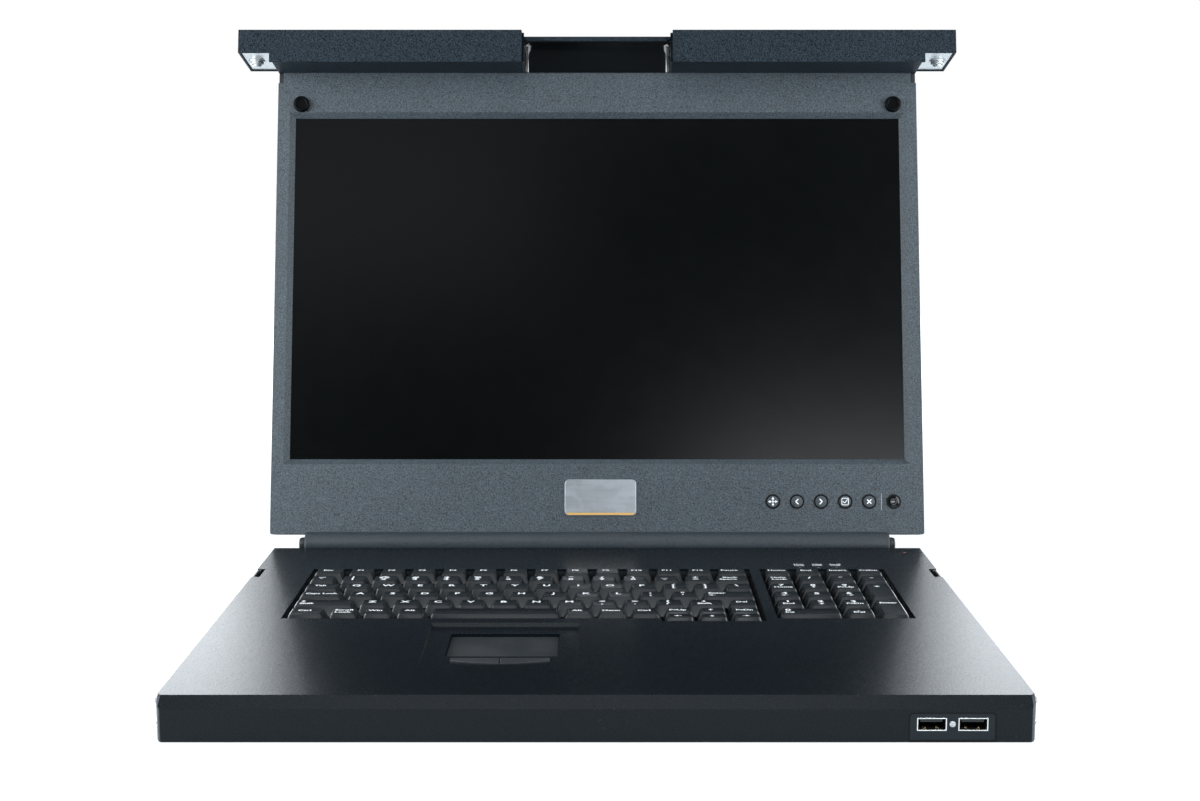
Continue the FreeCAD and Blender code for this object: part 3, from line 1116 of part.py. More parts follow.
def make_controls():
    """Screen menu buttons, the power button and the board that they press on."""
    for name, x in control_places():
        flange_back = -LID_SHEET - CONTROL_FLANGE - SEAT_GAP
        cap = rod(x, CONTROL_ROW, flange_back, CONTROL_RADIUS, CONTROL_STAND - flange_back)
        half = CONTROL_RADIUS + CONTROL_FLANGE
        flange = block(x - half, x + half, CONTROL_ROW - half, CONTROL_ROW + half, flange_back,
                       flange_back + CONTROL_FLANGE)
        save_lid(name, [fuse([cap, flange])])
    front = control_board_back()
    half = CONTROL_PITCH / 2
    board = block(FIRST_CONTROL_X - 2 * half, POWER_X + half, CONTROL_ROW - half, CONTROL_ROW + half,
                  front - BOARD_THICKNESS, front)
    half = SWITCH_SIZE / 2
    switches = [block(x - half, x + half, CONTROL_ROW - half, CONTROL_ROW + half, front,
                      front + SWITCH_HEIGHT) for name, x in control_places()]
    save_lid("control_board", [fuse([board] + switches)])


def make_lid_trim():
    """Rubber bumpers and the bare badge plate."""
    bumpers = []
    for side in (-1, 1):
        height = LID_GAP - BUMPER_REST_GAP
        pad = rod(side * BUMPER_X, BUMPER_ROW, 0, BUMPER_RADIUS, height)
        rim = [edge for edge in pad.Edges if edge.CenterOfMass.z > height / 2]
        round_rim = [edge for edge in rim if isinstance(edge.Curve, Part.Circle)]
        stem = prism(side * BUMPER_X, BUMPER_ROW, -LID_SHEET, BUMPER_STEM_RADIUS, SCREW_SIDES,
                     LID_SHEET + height / 2)
        bumpers.append(fuse([pad.makeChamfer(BUMPER_CHAMFER, round_rim), stem]))
    save_lid("lid_bumpers", bumpers)
    left = BADGE_OFFSET - BADGE_WIDTH / 2
    badge = rounded_block(left, left + BADGE_WIDTH, BADGE_BOTTOM, BADGE_BOTTOM + BADGE_HEIGHT, 0,
                          BADGE_THICKNESS, BADGE_CORNER)
    save_lid("badge_plate", [badge])


# --- Front bar -----------------------------------------------------------------------------------
def make_bar():
    """The front bar: a sheet box with open-backed ears and a finger recess in its bottom."""
    middle = HALF_BAR - EAR_WIDTH
    n0, n1 = BAR_TOP + BAR_SHEET, BAR_BOTTOM - BAR_SHEET
    outer = fuse([block(-HALF_BAR, HALF_BAR, EAR_BACK, BAR_FRONT, BAR_TOP, BAR_BOTTOM),
                  block(-middle, middle, LID_LENGTH, BAR_FRONT, n1, BAR_BOTTOM),
                  block(-HALF_LID, HALF_LID, LID_LENGTH, BAR_FRONT, BAR_TOP, BAR_BOTTOM)])
    front = BAR_FRONT - BAR_FRONT_SHEET
    hollow = block(-HALF_LID + BAR_SHEET, HALF_LID - BAR_SHEET, LID_LENGTH + BAR_SHEET, front, n0, n1)
    ear_hollow = block(HALF_LID, HALF_BAR - BAR_SHEET, EAR_BACK - CUT_OVER, front, n0, n1)
    half_handle = HANDLE_WIDTH / 2
    recess = block(-half_handle, half_handle, LID_LENGTH - CUT_OVER, front, BAR_BOTTOM - CUP_DEPTH,
                   BAR_BOTTOM + CUT_OVER)
    notch = block(-half_handle, half_handle, front - CUT_OVER, BAR_FRONT + CUT_OVER, LIP_FACE,
                  BAR_BOTTOM + CUT_OVER)
    hole_n = (BAR_TOP + BAR_BOTTOM) / 2
    heads = [rod(side * RACK_HOLE_SPAN / 2, front - CUT_OVER, hole_n,
                 SCREW_HEAD_RADIUS + SCREW_CLEARANCE, BAR_FRONT_SHEET + 2 * CUT_OVER, Y_AXIS)
             for side in (-1, 1)]
    bar = cut(outer, [hollow, recess, notch] + both_sides(ear_hollow) + heads)
    lip_half = half_handle - HANDLE_LIP_INSET
    lip = block(-lip_half, lip_half, BAR_FRONT - HANDLE_LIP, BAR_FRONT, LIP_FACE - BAR_SHEET, LIP_FACE)
    save_lid("rack_bar", [fuse([bar, lip])])


def make_handle_cup():
    """The moulded liner of the finger recess, open below and behind, with round corners."""
    half = HANDLE_WIDTH / 2 - SEAT_GAP
    back = LID_LENGTH
    front = BAR_FRONT - BAR_FRONT_SHEET - SEAT_GAP
    floor = BAR_BOTTOM - CUP_DEPTH + SEAT_GAP
    mouth = BAR_BOTTOM - CUP_SETBACK
    inner = block(-half + CUP_WALL, half - CUP_WALL, back - 2 * CUP_CORNER, front - CUP_WALL,
                  floor + CUP_WALL, mouth + CUT_OVER + CUP_CORNER)
    corners = edges_along(inner, Z_AXIS, lambda edge: edge.CenterOfMass.y > back)
    sides = edges_along(inner, Y_AXIS, lambda edge: edge.CenterOfMass.z < floor + CUP_CORNER)
    inner = inner.makeFillet(CUP_CORNER, corners + sides)
    outer = block(-half, half, back, front, floor, mouth)
    over_lip = block(-half + CUP_WALL, half - CUP_WALL, front - CUP_WALL - CUP_CORNER, front + CUT_OVER,
                     LIP_FACE - BAR_SHEET - SEAT_GAP, mouth + CUT_OVER)
    save_lid("handle_cup", [cut(outer, [inner, over_lip])])


def make_ears():
    """Zinc ear plates with their locating bushes, and the captive screws in them."""
    face = EAR_BACK + EAR_PLATE_INSET
    plate_front = face + EAR_PLATE_THICKNESS
    x = RACK_HOLE_SPAN / 2
    n = (BAR_TOP + BAR_BOTTOM) / 2
    plate = block(HALF_LID + EAR_PLATE_GAP, HALF_BAR - BAR_SHEET - EAR_PLATE_GAP, face, plate_front,
                  BAR_TOP + BAR_SHEET, BAR_BOTTOM - BAR_SHEET)
    bush_start = EAR_BACK - BUSH_LENGTH
    bush = rod(x, bush_start, n, BUSH_RADIUS, face + EAR_PLATE_THICKNESS / 2 - bush_start, Y_AXIS)
    nose = [edge for edge in bush.Edges if edge.CenterOfMass.y < bush_start + BUSH_CHAMFER]
    round_nose = [edge for edge in nose if isinstance(edge.Curve, Part.Circle)]
    bush = bush.makeChamfer(BUSH_CHAMFER, round_nose)
    collar = rod(x, face - BUSH_COLLAR, n, BUSH_COLLAR_RADIUS, BUSH_COLLAR + CUT_OVER, Y_AXIS)
    bore = rod(x, bush_start - CUT_OVER, n, SCREW_RADIUS + SCREW_CLEARANCE,
               plate_front - bush_start + 2 * CUT_OVER, Y_AXIS)
    save_lid("ear_plates", both_sides(cut(fuse([plate, collar, bush]), [bore])))

    head_end = BAR_FRONT - SCREW_CLEARANCE
    tip = bush_start - SCREW_TIP
    shank = rod(x, tip, n, SCREW_RADIUS, head_end - SCREW_HEAD / 2 - tip, Y_AXIS)
    nose = [edge for edge in shank.Edges if edge.CenterOfMass.y < tip + BUSH_CHAMFER]
    round_nose = [edge for edge in nose if isinstance(edge.Curve, Part.Circle)]
    shank = shank.makeChamfer(BUSH_CHAMFER, round_nose)
    head = rod(x, head_end - SCREW_HEAD, n, SCREW_HEAD_RADIUS, SCREW_HEAD, Y_AXIS)
    half_slot = SCREW_SLOT / 2
    reach = SCREW_HEAD_RADIUS + CUT_OVER
    slot = block(x - half_slot, x + half_slot, head_end - SCREW_SLOT, head_end + CUT_OVER, n - reach,
                 n + reach)
    right, left = both_sides(cut(fuse([shank, head]), [slot]))
    save_lid("captive_screw_right", [right])
    save_lid("captive_screw_left", [left])


def main():
    os.makedirs("parts", exist_ok=True)
    make_deck_cover()
    make_base_pan()
    make_tray_screws()
    make_slides()
    make_catches()
    make_keyboard_tub()
    make_keyboard_layers()
    make_keys()
    make_touchpad()
    make_usb_module()
    make_controller_board()
    make_rear_sockets()
    make_hinge()
    make_barrel()
    make_lid_frame()
    make_lid_back()
    make_screen()
    make_controls()
    make_lid_trim()
    make_bar()
    make_handle_cup()
    make_ears()


main()
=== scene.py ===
import bpy
import bmesh
import json
import math
from mathutils import Matrix, Vector

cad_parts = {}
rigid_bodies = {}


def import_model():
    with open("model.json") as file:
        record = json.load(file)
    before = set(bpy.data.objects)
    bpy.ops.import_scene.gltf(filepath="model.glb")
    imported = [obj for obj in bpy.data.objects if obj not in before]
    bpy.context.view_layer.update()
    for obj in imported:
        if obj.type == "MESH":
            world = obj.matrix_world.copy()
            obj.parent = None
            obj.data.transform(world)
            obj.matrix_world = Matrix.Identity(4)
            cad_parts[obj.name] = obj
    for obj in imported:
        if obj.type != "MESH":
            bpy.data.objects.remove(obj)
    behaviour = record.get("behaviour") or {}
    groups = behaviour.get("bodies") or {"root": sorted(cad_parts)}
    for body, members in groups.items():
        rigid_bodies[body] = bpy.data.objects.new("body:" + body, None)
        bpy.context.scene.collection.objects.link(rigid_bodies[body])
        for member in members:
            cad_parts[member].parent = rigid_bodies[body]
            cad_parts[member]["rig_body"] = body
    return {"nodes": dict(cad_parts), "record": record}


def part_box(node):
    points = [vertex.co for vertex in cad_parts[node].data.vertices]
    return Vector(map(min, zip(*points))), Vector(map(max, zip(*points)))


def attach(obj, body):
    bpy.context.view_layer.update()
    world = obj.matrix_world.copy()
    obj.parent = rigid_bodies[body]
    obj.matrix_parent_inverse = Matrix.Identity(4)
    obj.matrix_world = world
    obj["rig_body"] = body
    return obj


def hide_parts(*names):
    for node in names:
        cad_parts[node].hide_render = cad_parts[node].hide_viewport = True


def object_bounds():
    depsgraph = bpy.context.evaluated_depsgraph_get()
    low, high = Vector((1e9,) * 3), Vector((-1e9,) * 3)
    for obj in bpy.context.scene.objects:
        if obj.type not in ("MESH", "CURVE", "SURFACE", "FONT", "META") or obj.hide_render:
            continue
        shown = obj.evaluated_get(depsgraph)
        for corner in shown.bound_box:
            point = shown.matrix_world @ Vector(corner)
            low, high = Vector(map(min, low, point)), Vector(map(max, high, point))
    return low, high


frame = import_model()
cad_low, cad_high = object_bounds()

nodes = frame["nodes"]
scene = bpy.context.scene
print("solids from the frame:", len(nodes))
# %% [markdown]
# The camera stands where a visitor would, a metre in front of the drawer and a little above the
# keyboard, with a normal lens. Looking slightly down keeps the lid upright and opens up the deck.
# %% Camera
CAMERA_PLACE = (0.0019, -0.9712, 0.2854)
CAMERA_LENS = 51.7
LOOK_DOWN = 8.44
camera_data = bpy.data.cameras.new("camera")
camera_data.lens = CAMERA_LENS
camera = bpy.data.objects.new("camera", camera_data)
camera.location = CAMERA_PLACE
camera.rotation_euler = (math.radians(90 - LOOK_DOWN), 0, 0)
scene.collection.objects.link(camera)
scene.camera = camera
print("camera at", CAMERA_PLACE)
# %% [markdown]
# ## Small node helpers
# Materials and the world are both built of nodes. A socket gets either a plain value or the
# output of another node. The helpers below return such outputs, as pairs of a node and the name
# of its output, so that the cells after them read like a recipe.
# %% Node helpers
def feed(tree, node, socket, value):
    """Give a socket a plain value, or wire it to a (node, output) pair."""
    if isinstance(value, tuple) and isinstance(value[0], bpy.types.Node):
        tree.links.new(value[0].outputs[value[1]], node.inputs[socket])
    else:
        node.inputs[socket].default_value = value


def add_node(tree, kind, inputs=None, **settings):
    """Add a shader node, set its properties and feed its inputs."""
    node = tree.nodes.new("ShaderNode" + kind)
    for name, setting in settings.items():
        setattr(node, name, setting)
    for socket, value in (inputs or {}).items():
        feed(tree, node, socket, value)
    return node


def calc(tree, operation, first, second):
    """The result of a sum of two values."""
    return add_node(tree, "Math", {0: first, 1: second}, operation=operation), "Value"


def blend(tree, factor, low, high):
    """A colour between two colours."""
    return add_node(tree, "Mix", {0: factor, 6: low, 7: high}, data_type="RGBA"), 2


def ramp(tree, value, low, high, to_low=0.0, to_high=1.0, curve="LINEAR"):
    """A value stretched between two levels and held at both ends."""
    return add_node(tree, "MapRange", {"Value": value, "From Min": low, "From Max": high,
                                       "To Min": to_low, "To Max": to_high},
                    interpolation_type=curve), "Result"


print("node helpers ready")
# %% [markdown]
# ## The studio
# A dark, satin thing shows its studio as much as its own colour. The deck is seen almost edge
# on, so it mirrors whatever stands behind it: the dark lid in the middle and the white backdrop
# at both sides. The room is therefore white behind the object and dim behind the camera, which
# keeps the glass black. A world shader can tell those directions apart, and Light Path lets the
# camera, mirrors and glass see the backdrop while the diffuse light stays at a plain level.
# %% World
AMBIENT = 0.22
DIM_SIDE = 0.03
DIM_TO, WHITE_FROM = -0.5, 0.35     # how far back a direction points, from -1 to 1
WHITE = (1, 1, 1, 1)
DAYLIGHT = (0.90, 0.955, 1.0)
scene.view_settings.view_transform = "Standard"
world = bpy.data.worlds.new("white_studio")
world.use_nodes = True
scene.world = world
sky = world.node_tree
sky.nodes.clear()
ray = add_node(sky, "LightPath")
camera_ray = (ray, "Is Camera Ray")
direction = add_node(sky, "TexCoord")
parts = add_node(sky, "SeparateXYZ", {"Vector": (direction, "Generated")})
fade = ramp(sky, (parts, "Y"), DIM_TO, WHITE_FROM, DIM_SIDE, 1.0, "SMOOTHSTEP")
mirror_ray = calc(sky, "MAXIMUM", (ray, "Is Glossy Ray"), (ray, "Is Transmission Ray"))
plain = add_node(sky, "Mix", {"Factor": mirror_ray, "A": AMBIENT, "B": fade})
seen = add_node(sky, "Mix", {"Factor": camera_ray, "A": (plain, "Result"), "B": 1.0})
backdrop = add_node(sky, "Background", {"Color": blend(sky, camera_ray, DAYLIGHT + (1,), WHITE),
                                        "Strength": (seen, "Result")})
add_node(sky, "OutputWorld", {"Surface": (backdrop, "Background")})
print("world: ambient", AMBIENT, "dim side", DIM_SIDE)
# %% [markdown]
# The lamps are large and soft, as in a light tent. Two hang above, and one in front of them lights
# the slopes that face the camera. The side lamps stand close to the lid, so its edges are brighter
# than its middle. Two stand far behind for the deck to mirror. Two weak ones over the camera
# leave a faint cloud and a haze in the anti-glare glass. The camera itself sees no lamp.
# %% Lamps
# Each lamp has a place, a target, a width, a depth and its watts.
LAMPS = {
    "overhead": ((0, -0.1, 1.7), (0, 0.05, 0), 1.8, 1.2, 3.2),
    "strip": ((0, -0.60, 1.5), (0, -0.1, 0), 1.1, 0.35, 1.2),
    "left_side": ((-0.80, -0.22, 0.40), (-0.2, 0.1, 0.2), 0.9, 0.6, 11.5),
    "right_side": ((0.80, -0.22, 0.40), (0.2, 0.1, 0.2), 0.9, 0.6, 9.0),
    "left_back": ((-1.1, 1.5, 0.45), (-0.1, -0.1, 0), 1.2, 0.9, 16.0),
    "right_back": ((1.1, 1.5, 0.45), (0.1, -0.1, 0), 1.2, 0.9, 14.5),
    "front_top": ((0, -0.95, 1.40), (0, 0, 0.05), 1.0, 0.25, 3.2),
    "above_camera": ((0.38, -1.28, 0.46), (0.1, 0.2, 0.1), 0.42, 0.15, 2.3),
    "upper_left": ((-0.34, -1.28, 1.00), (-0.1, 0.2, 0.2), 0.5, 0.3, 0.45),
}
for name, (place, target, width, depth, watts) in LAMPS.items():
    data = bpy.data.lights.new(name, "AREA")
    data.shape = "RECTANGLE"
    data.size = width
    data.size_y = depth
    data.energy = watts
    data.color = DAYLIGHT
    lamp = bpy.data.objects.new(name, data)
    lamp.location = place
    aim = Vector(target) - Vector(place)
    lamp.rotation_euler = aim.to_track_quat("-Z", "Y").to_euler()
    scene.collection.objects.link(lamp)
print("lamps:", len(LAMPS))
# %% [markdown]
# The floor is one large flat sheet just under the tray. Its colour is a mid grey, and a glow that
# only the camera and mirrors see lifts it to the paper white of a product picture. The glow is
# weaker near the object, so the soft contact shadow stays; this fade also paints a soft shade on
# the floor round the object.
# %% Floor
FLOOR_REACH = 4.0
FLOOR_GAP = 0.0002
SHADOW_REACH, WHITE_REACH = 0.45, 1.3
floor_shape = bmesh.new()
bmesh.ops.create_grid(floor_shape, x_segments=4, y_segments=4, size=FLOOR_REACH)
bmesh.ops.translate(floor_shape, verts=floor_shape.verts, vec=(0, 0, cad_low[2] - FLOOR_GAP))
floor_mesh = bpy.data.meshes.new("studio_floor")
floor_shape.to_mesh(floor_mesh)
floor_shape.free()
floor = bpy.data.objects.new("studio_floor", floor_mesh)
scene.collection.objects.link(floor)
paper = bpy.data.materials.new("studio_paper")
paper.use_nodes = True
tree = paper.node_tree
floor_spot = (add_node(tree, "TexCoord"), "Object")
ray = add_node(tree, "LightPath")
camera_ray = (ray, "Is Camera Ray")
grain = add_node(tree, "TexNoise", {"Vector": floor_spot, "Scale": 3.0})
distance = add_node(tree, "VectorMath", {0: floor_spot}, operation="LENGTH")
# Painted shade: the glow falls to half near the object, so the floor is darker round it.
painted_shade_fade = ramp(tree, (distance, "Value"), SHADOW_REACH, WHITE_REACH, 0.50, 1.0)
glow = calc(tree, "MAXIMUM", camera_ray, (ray, "Is Glossy Ray"))
shown = {
    "Roughness": 0.9, "Specular IOR Level": 0.1,
    "Base Color": blend(tree, (grain, "Fac"), (0.50, 0.51, 0.52, 1), (0.55, 0.56, 0.57, 1)),
    "Emission Color": blend(tree, camera_ray, (0.80, 0.93, 1.0, 1), WHITE),
    "Emission Strength": calc(tree, "MULTIPLY", glow, painted_shade_fade),
}
for socket, value in shown.items():
    feed(tree, tree.nodes["Principled BSDF"], socket, value)
floor_mesh.materials.append(paper)
print("floor at", round(cad_low[2], 4))
# %% [markdown]
# ## Finishes
# Every finish below is made of a few shared effects. Each effect is a node group with its own
# inputs, so that one powder coat can be coarse and another fine. One helper starts a group and
# names its sockets, another makes a noise at the group's scale, and a third ends the group: a
# height tints the base colour, and a wear value picks the roughness between two levels.
# %% Group helpers
FLOAT = "NodeSocketFloat"
COLOR = "NodeSocketColor"
EFFECT_INPUTS = {"Scale": 1000.0, "Tint": 0.1, "Base": (0.1, 0.1, 0.1, 1), "Low Roughness": 0.4,
                 "High Roughness": 0.55}
EFFECT_OUTPUTS = {"Color": COLOR, "Roughness": FLOAT, "Height": FLOAT}


def start_group(name, inputs, outputs):
    """Make a shader group with inputs {name: value} and outputs {name: socket type}."""
    group = bpy.data.node_groups.new(name, "ShaderNodeTree")
    group.interface.new_socket("Vector", in_out="INPUT", socket_type="NodeSocketVector")
    for label, value in inputs.items():
        kind = COLOR if isinstance(value, tuple) else FLOAT
        socket = group.interface.new_socket(label, in_out="INPUT", socket_type=kind)
        socket.default_value = value
    for label, kind in outputs.items():
        group.interface.new_socket(label, in_out="OUTPUT", socket_type=kind)
    return group, group.nodes.new("NodeGroupInput"), group.nodes.new("NodeGroupOutput")


def noise(tree, inputs, scale, detail=2.0, roughness=0.5, spot=None):
    """Noise whose scale is a share of the group's Scale."""
    own_scale = calc(tree, "MULTIPLY", (inputs, "Scale"), scale)
    return add_node(tree, "TexNoise", {"Vector": spot or (inputs, "Vector"), "Scale": own_scale,
                                       "Detail": detail, "Roughness": roughness}), "Fac"


def mix_heights(tree, first, second, share):
    """The sum of two heights, of which the first has this share."""
    return calc(tree, "ADD", calc(tree, "MULTIPLY", first, share),
                calc(tree, "MULTIPLY", second, 1 - share))


def end_group(tree, inputs, outputs, height, height_range, brightness, wear, wear_range):
    """Tint the base colour by a height and pick the roughness by a wear value."""
    spread = ramp(tree, height, *height_range, -1.0, 1.0)
    shade = calc(tree, "MULTIPLY", spread, (inputs, "Tint"))
    tinted = add_node(tree, "VectorMath", {0: (inputs, "Base"),
                                           "Scale": calc(tree, "ADD", shade, brightness)},
                      operation="SCALE")
    gloss = ramp(tree, wear, *wear_range, (inputs, "Low Roughness"), (inputs, "High Roughness"))
    for label, value in {"Color": (tinted, "Vector"), "Roughness": gloss, "Height": height}.items():
        feed(tree, outputs, label, value)
    print(tree.name, "nodes:", len(tree.nodes))
# %% [markdown]
# Powder coat is dry paint that is melted on in an oven. It never lies quite flat: it has a fine
# orange peel about a millimetre across, and flecks where grains stood proud. Two noises at
# different scales give that height, and the same noises tint the colour and dull the shine. A
# third, very wide noise makes the whole coat drift a little lighter and darker.
# %% Powder coat group
coat_tree, coat_in, coat_out = start_group("powder_coat", EFFECT_INPUTS, EFFECT_OUTPUTS)
peel = noise(coat_tree, coat_in, 1.0, 2.0, 0.55)
flecks = noise(coat_tree, coat_in, 2.4, 1.0)
drift = noise(coat_tree, coat_in, 0.012)
skin = mix_heights(coat_tree, peel, flecks, 0.6)
end_group(coat_tree, coat_in, coat_out, skin, (0.36, 0.64),
          ramp(coat_tree, drift, 0.35, 0.65, 0.95, 1.05), skin, (0.35, 0.65))
# %% [markdown]
# Moulded plastic is flatter: a spark-eroded mould leaves fine, even grain, and handling leaves
# smudges that change only the shine. Rubber, print and circuit board use the same group with
# other values.
# %% Moulded grain group
grain_tree, grain_in, grain_out = start_group("moulded_grain", EFFECT_INPUTS, EFFECT_OUTPUTS)
fine = noise(grain_tree, grain_in, 1.0, 1.0, 0.4)
smudge = noise(grain_tree, grain_in, 0.02, 3.0, 0.6)
end_group(grain_tree, grain_in, grain_out, fine, (0.3, 0.7), 1.0, smudge, (0.35, 0.65))
# %% [markdown]
# Plated sheet steel has long, fine rolling lines and faint spangles of zinc. Stretching a noise
# along one axis makes the lines: the coordinates are squeezed in that direction before the
# noise reads them. A Voronoi pattern gives the spangles.
# %% Plated steel group
steel_tree, steel_in, steel_out = start_group("plated_steel", EFFECT_INPUTS, EFFECT_OUTPUTS)
SQUEEZE = (0.02, 1.0, 1.0)
SPANGLE_SHARE = 0.14
squeeze = add_node(steel_tree, "VectorMath", {0: (steel_in, "Vector"), 1: SQUEEZE},
                   operation="MULTIPLY")
lines = noise(steel_tree, steel_in, 1.0, 2.0, 0.6, (squeeze, "Vector"))
spangle_scale = calc(steel_tree, "MULTIPLY", (steel_in, "Scale"), SPANGLE_SHARE)
spangle = add_node(steel_tree, "TexVoronoi", {"Vector": (steel_in, "Vector"),
                                              "Scale": spangle_scale})
grey = add_node(steel_tree, "SeparateColor", {"Color": (spangle, "Color")})
sheen = mix_heights(steel_tree, lines, (grey, "Red"), 0.7)
end_group(steel_tree, steel_in, steel_out, sheen, (0.25, 0.75), 1.0, sheen, (0.3, 0.7))
# %% [markdown]
# A new product is almost clean, but a black one always carries some dust: tiny pale specks, in
# no pattern. A thresholded noise makes sparse specks that lighten the colour a little.
# %% Dust group
DUST_COLOUR = (0.55, 0.56, 0.56, 1)
dust_tree, dust_in, dust_out = start_group(
    "dust_specks", {"Scale": 500.0, "Amount": 0.08, "Base": (0.1, 0.1, 0.1, 1)}, {"Color": COLOR})
sparse = ramp(dust_tree, noise(dust_tree, dust_in, 1.0, 2.0, 0.6), 0.66, 0.74)
where = ramp(dust_tree, noise(dust_tree, dust_in, 0.02, 1.0), 0.45, 0.65)
dusty = calc(dust_tree, "MULTIPLY", sparse, where)
dust_mask = calc(dust_tree, "MULTIPLY", dusty, (dust_in, "Amount"))
feed(dust_tree, dust_out, "Color", blend(dust_tree, dust_mask, (dust_in, "Base"), DUST_COLOUR))
print("dust nodes:", len(dust_tree.nodes))
# %% [markdown]
# One function now makes a finish: it places an effect group and the dust group in a new
# material, sets their values, and sends colour, roughness and height to the shader. Values that
# are the same all over, such as metallic or coat, are set on the shader's own sockets.
# %% Finish helper
def make_finish(name, group, base, scale, tint, rough, relief, dust, shine):
    """Make a material from an effect group; relief is the height of its grain in metres."""
    finish = bpy.data.materials.new(name)
    finish.use_nodes = True
    tree = finish.node_tree
    place = (add_node(tree, "TexCoord"), "Object")
    effect = add_node(tree, "Group", {"Vector": place, "Base": base + (1.0,), "Scale": scale,
                                      "Tint": tint, "Low Roughness": rough[0],
                                      "High Roughness": rough[1]}, node_tree=group)
    specks = add_node(tree, "Group", {"Vector": place, "Base": (effect, "Color"), "Amount": dust},
                      node_tree=dust_tree)
    bump = add_node(tree, "Bump", {"Strength": 1.0, "Distance": relief,
                                   "Height": (effect, "Height")})
    patterns = {"Base Color": (specks, "Color"), "Roughness": (effect, "Roughness"),
                "Normal": (bump, "Normal")}
    for socket, value in {**patterns, **shine}.items():
        feed(tree, tree.nodes["Principled BSDF"], socket, value)
    return finish


print("finish helper ready")
# %% [markdown]
# The lid and bar wear a textured blue-grey powder coat, and the deck a smoother, darker one.
# Plastics, rubber, plated parts and glass follow. The numbers are linear colours, so 0.08 looks
# like a dark grey. Each row is a slot or a special finish: its name, colour, grains per metre,
# tint, the two roughness levels and the relief in metres.
# %% Finishes by material slot
COATED = {
    "deck_paint": ("deck_satin", (0.0028, 0.0054, 0.0076), 1300, 0.3, (0.23, 0.29), 3e-5),
    "lid_paint": ("lid_powder_coat", (0.041, 0.054, 0.064), 1200, 1.0, (0.38, 0.54), 4e-4),
    # Painted shade: the bar's row is the lid's coat made darker, for the shade on the bar and under
    # it.
    "bar_shaded_paint": ("bar_powder_coat", (0.019, 0.027, 0.035), 1200, 1.0, (0.42, 0.56), 4e-4),
    # Painted shade: the barrel's row is the lid's coat made darker, for the shade on it under the
    # lid.
    "barrel_paint": ("barrel_paint", (0.024, 0.032, 0.039), 1200, 0.6, (0.30, 0.42), 2e-4),
    "button_paint": ("button_paint", (0.040, 0.052, 0.061), 1500, 0.2, (0.4, 0.5), 5e-5),
    "black_steel": ("black_steel", (0.016, 0.018, 0.020), 1500, 0.15, (0.35, 0.5), 3e-5),
}
MOULDED = {
    "key_plastic": ("key_plastic", (0.0050, 0.0065, 0.0075), 2600, 0.2, (0.21, 0.28), 2e-5),
    "black_plastic": ("black_plastic", (0.016, 0.019, 0.021), 1800, 0.15, (0.42, 0.58), 2e-5),
    "module_black": ("module_black", (0.010, 0.015, 0.019), 1500, 0.15, (0.4, 0.5), 1e-5),
    # Painted shade: this near-black row darkens the buttons' sides, the linings inside the sockets
    # and the video socket's holes; it also darkens the seam round the socket module.
    "throat_black": ("throat_black", (0.003, 0.003, 0.003), 900, 0.1, (0.6, 0.7), 2e-6),
    "gloss_black": ("gloss_black", (0.004, 0.005, 0.006), 600, 0.1, (0.06, 0.12), 2e-6),
    "cup_gloss": ("cup_gloss", (0.002, 0.003, 0.004), 600, 0.1, (0.05, 0.10), 2e-6),
    "rubber": ("soft_rubber", (0.012, 0.013, 0.014), 1200, 0.15, (0.6, 0.75), 3e-5),
    "bumper_rubber": ("bumper_rubber", (0.0015, 0.002, 0.0025), 1200, 0.15, (0.30, 0.40), 4e-6),
    "screen_black": ("anti_glare_glass", (0.0008, 0.0013, 0.0015), 3500, 0.10, (0.22, 0.24), 3e-6),
    "white_plastic": ("white_print", (0.90, 0.92, 0.93), 1800, 0.03, (0.5, 0.6), 4e-6),
    "grey_print": ("grey_print", (0.30, 0.32, 0.34), 1800, 0.03, (0.4, 0.5), 4e-6),
    "power_mark": ("power_mark", (0.06, 0.065, 0.07), 1800, 0.03, (0.4, 0.5), 4e-6),
    "amber_print": ("amber_print", (0.62, 0.36, 0.09), 1500, 0.05, (0.3, 0.4), 4e-6),
    "video_blue": ("video_blue", (0.02, 0.05, 0.25), 1500, 0.08, (0.35, 0.45), 4e-6),
    "red_lens": ("red_lens", (0.30, 0.02, 0.015), 900, 0.1, (0.15, 0.25), 2e-6),
    "smoke_lens": ("smoke_lens", (0.10, 0.11, 0.11), 900, 0.1, (0.15, 0.25), 2e-6),
    "lamp_clear": ("clear_lens", (0.55, 0.57, 0.60), 900, 0.1, (0.1, 0.2), 2e-6),
    "board_green": ("circuit_board", (0.03, 0.16, 0.07), 900, 0.2, (0.35, 0.5), 2e-5),
}
PLATED = {
    "bare_steel": ("zinc_steel", (0.60, 0.61, 0.62), 900, 0.12, (0.26, 0.42), 1e-5),
    "nickel": ("bright_nickel", (0.82, 0.81, 0.79), 1600, 0.05, (0.14, 0.24), 4e-6),
    "gilt_contact": ("gilt_contact", (0.45, 0.34, 0.18), 1500, 0.08, (0.2, 0.3), 2e-6),
    "module_metal": ("module_back", (0.45, 0.46, 0.47), 700, 0.1, (0.35, 0.5), 1e-5),
    "badge_silver": ("badge_metal", (0.43, 0.45, 0.48), 1500, 0.10, (0.30, 0.42), 4e-6),
}
USUAL_DUST = 0.05
DUST = {"screen_black": 0.004, "cup_gloss": 0.01, "bumper_rubber": 0.0, "throat_black": 0.0}
SPECULAR = {"deck_paint": 0.21, "bar_shaded_paint": 0.06, "bumper_rubber": 0.08, "screen_black": 0.20,
            "throat_black": 0.2, "module_black": 0.25}
SHINE = {slot: {"Specular IOR Level": level} for slot, level in SPECULAR.items()}
SHINE["cup_gloss"] = {"IOR": 2.2}
SHINE.update({slot: {"Coat Weight": 1.0} for slot in ("red_lens", "smoke_lens", "lamp_clear")})
SHINE.update({slot: {"Metallic": 1.0} for slot in PLATED})
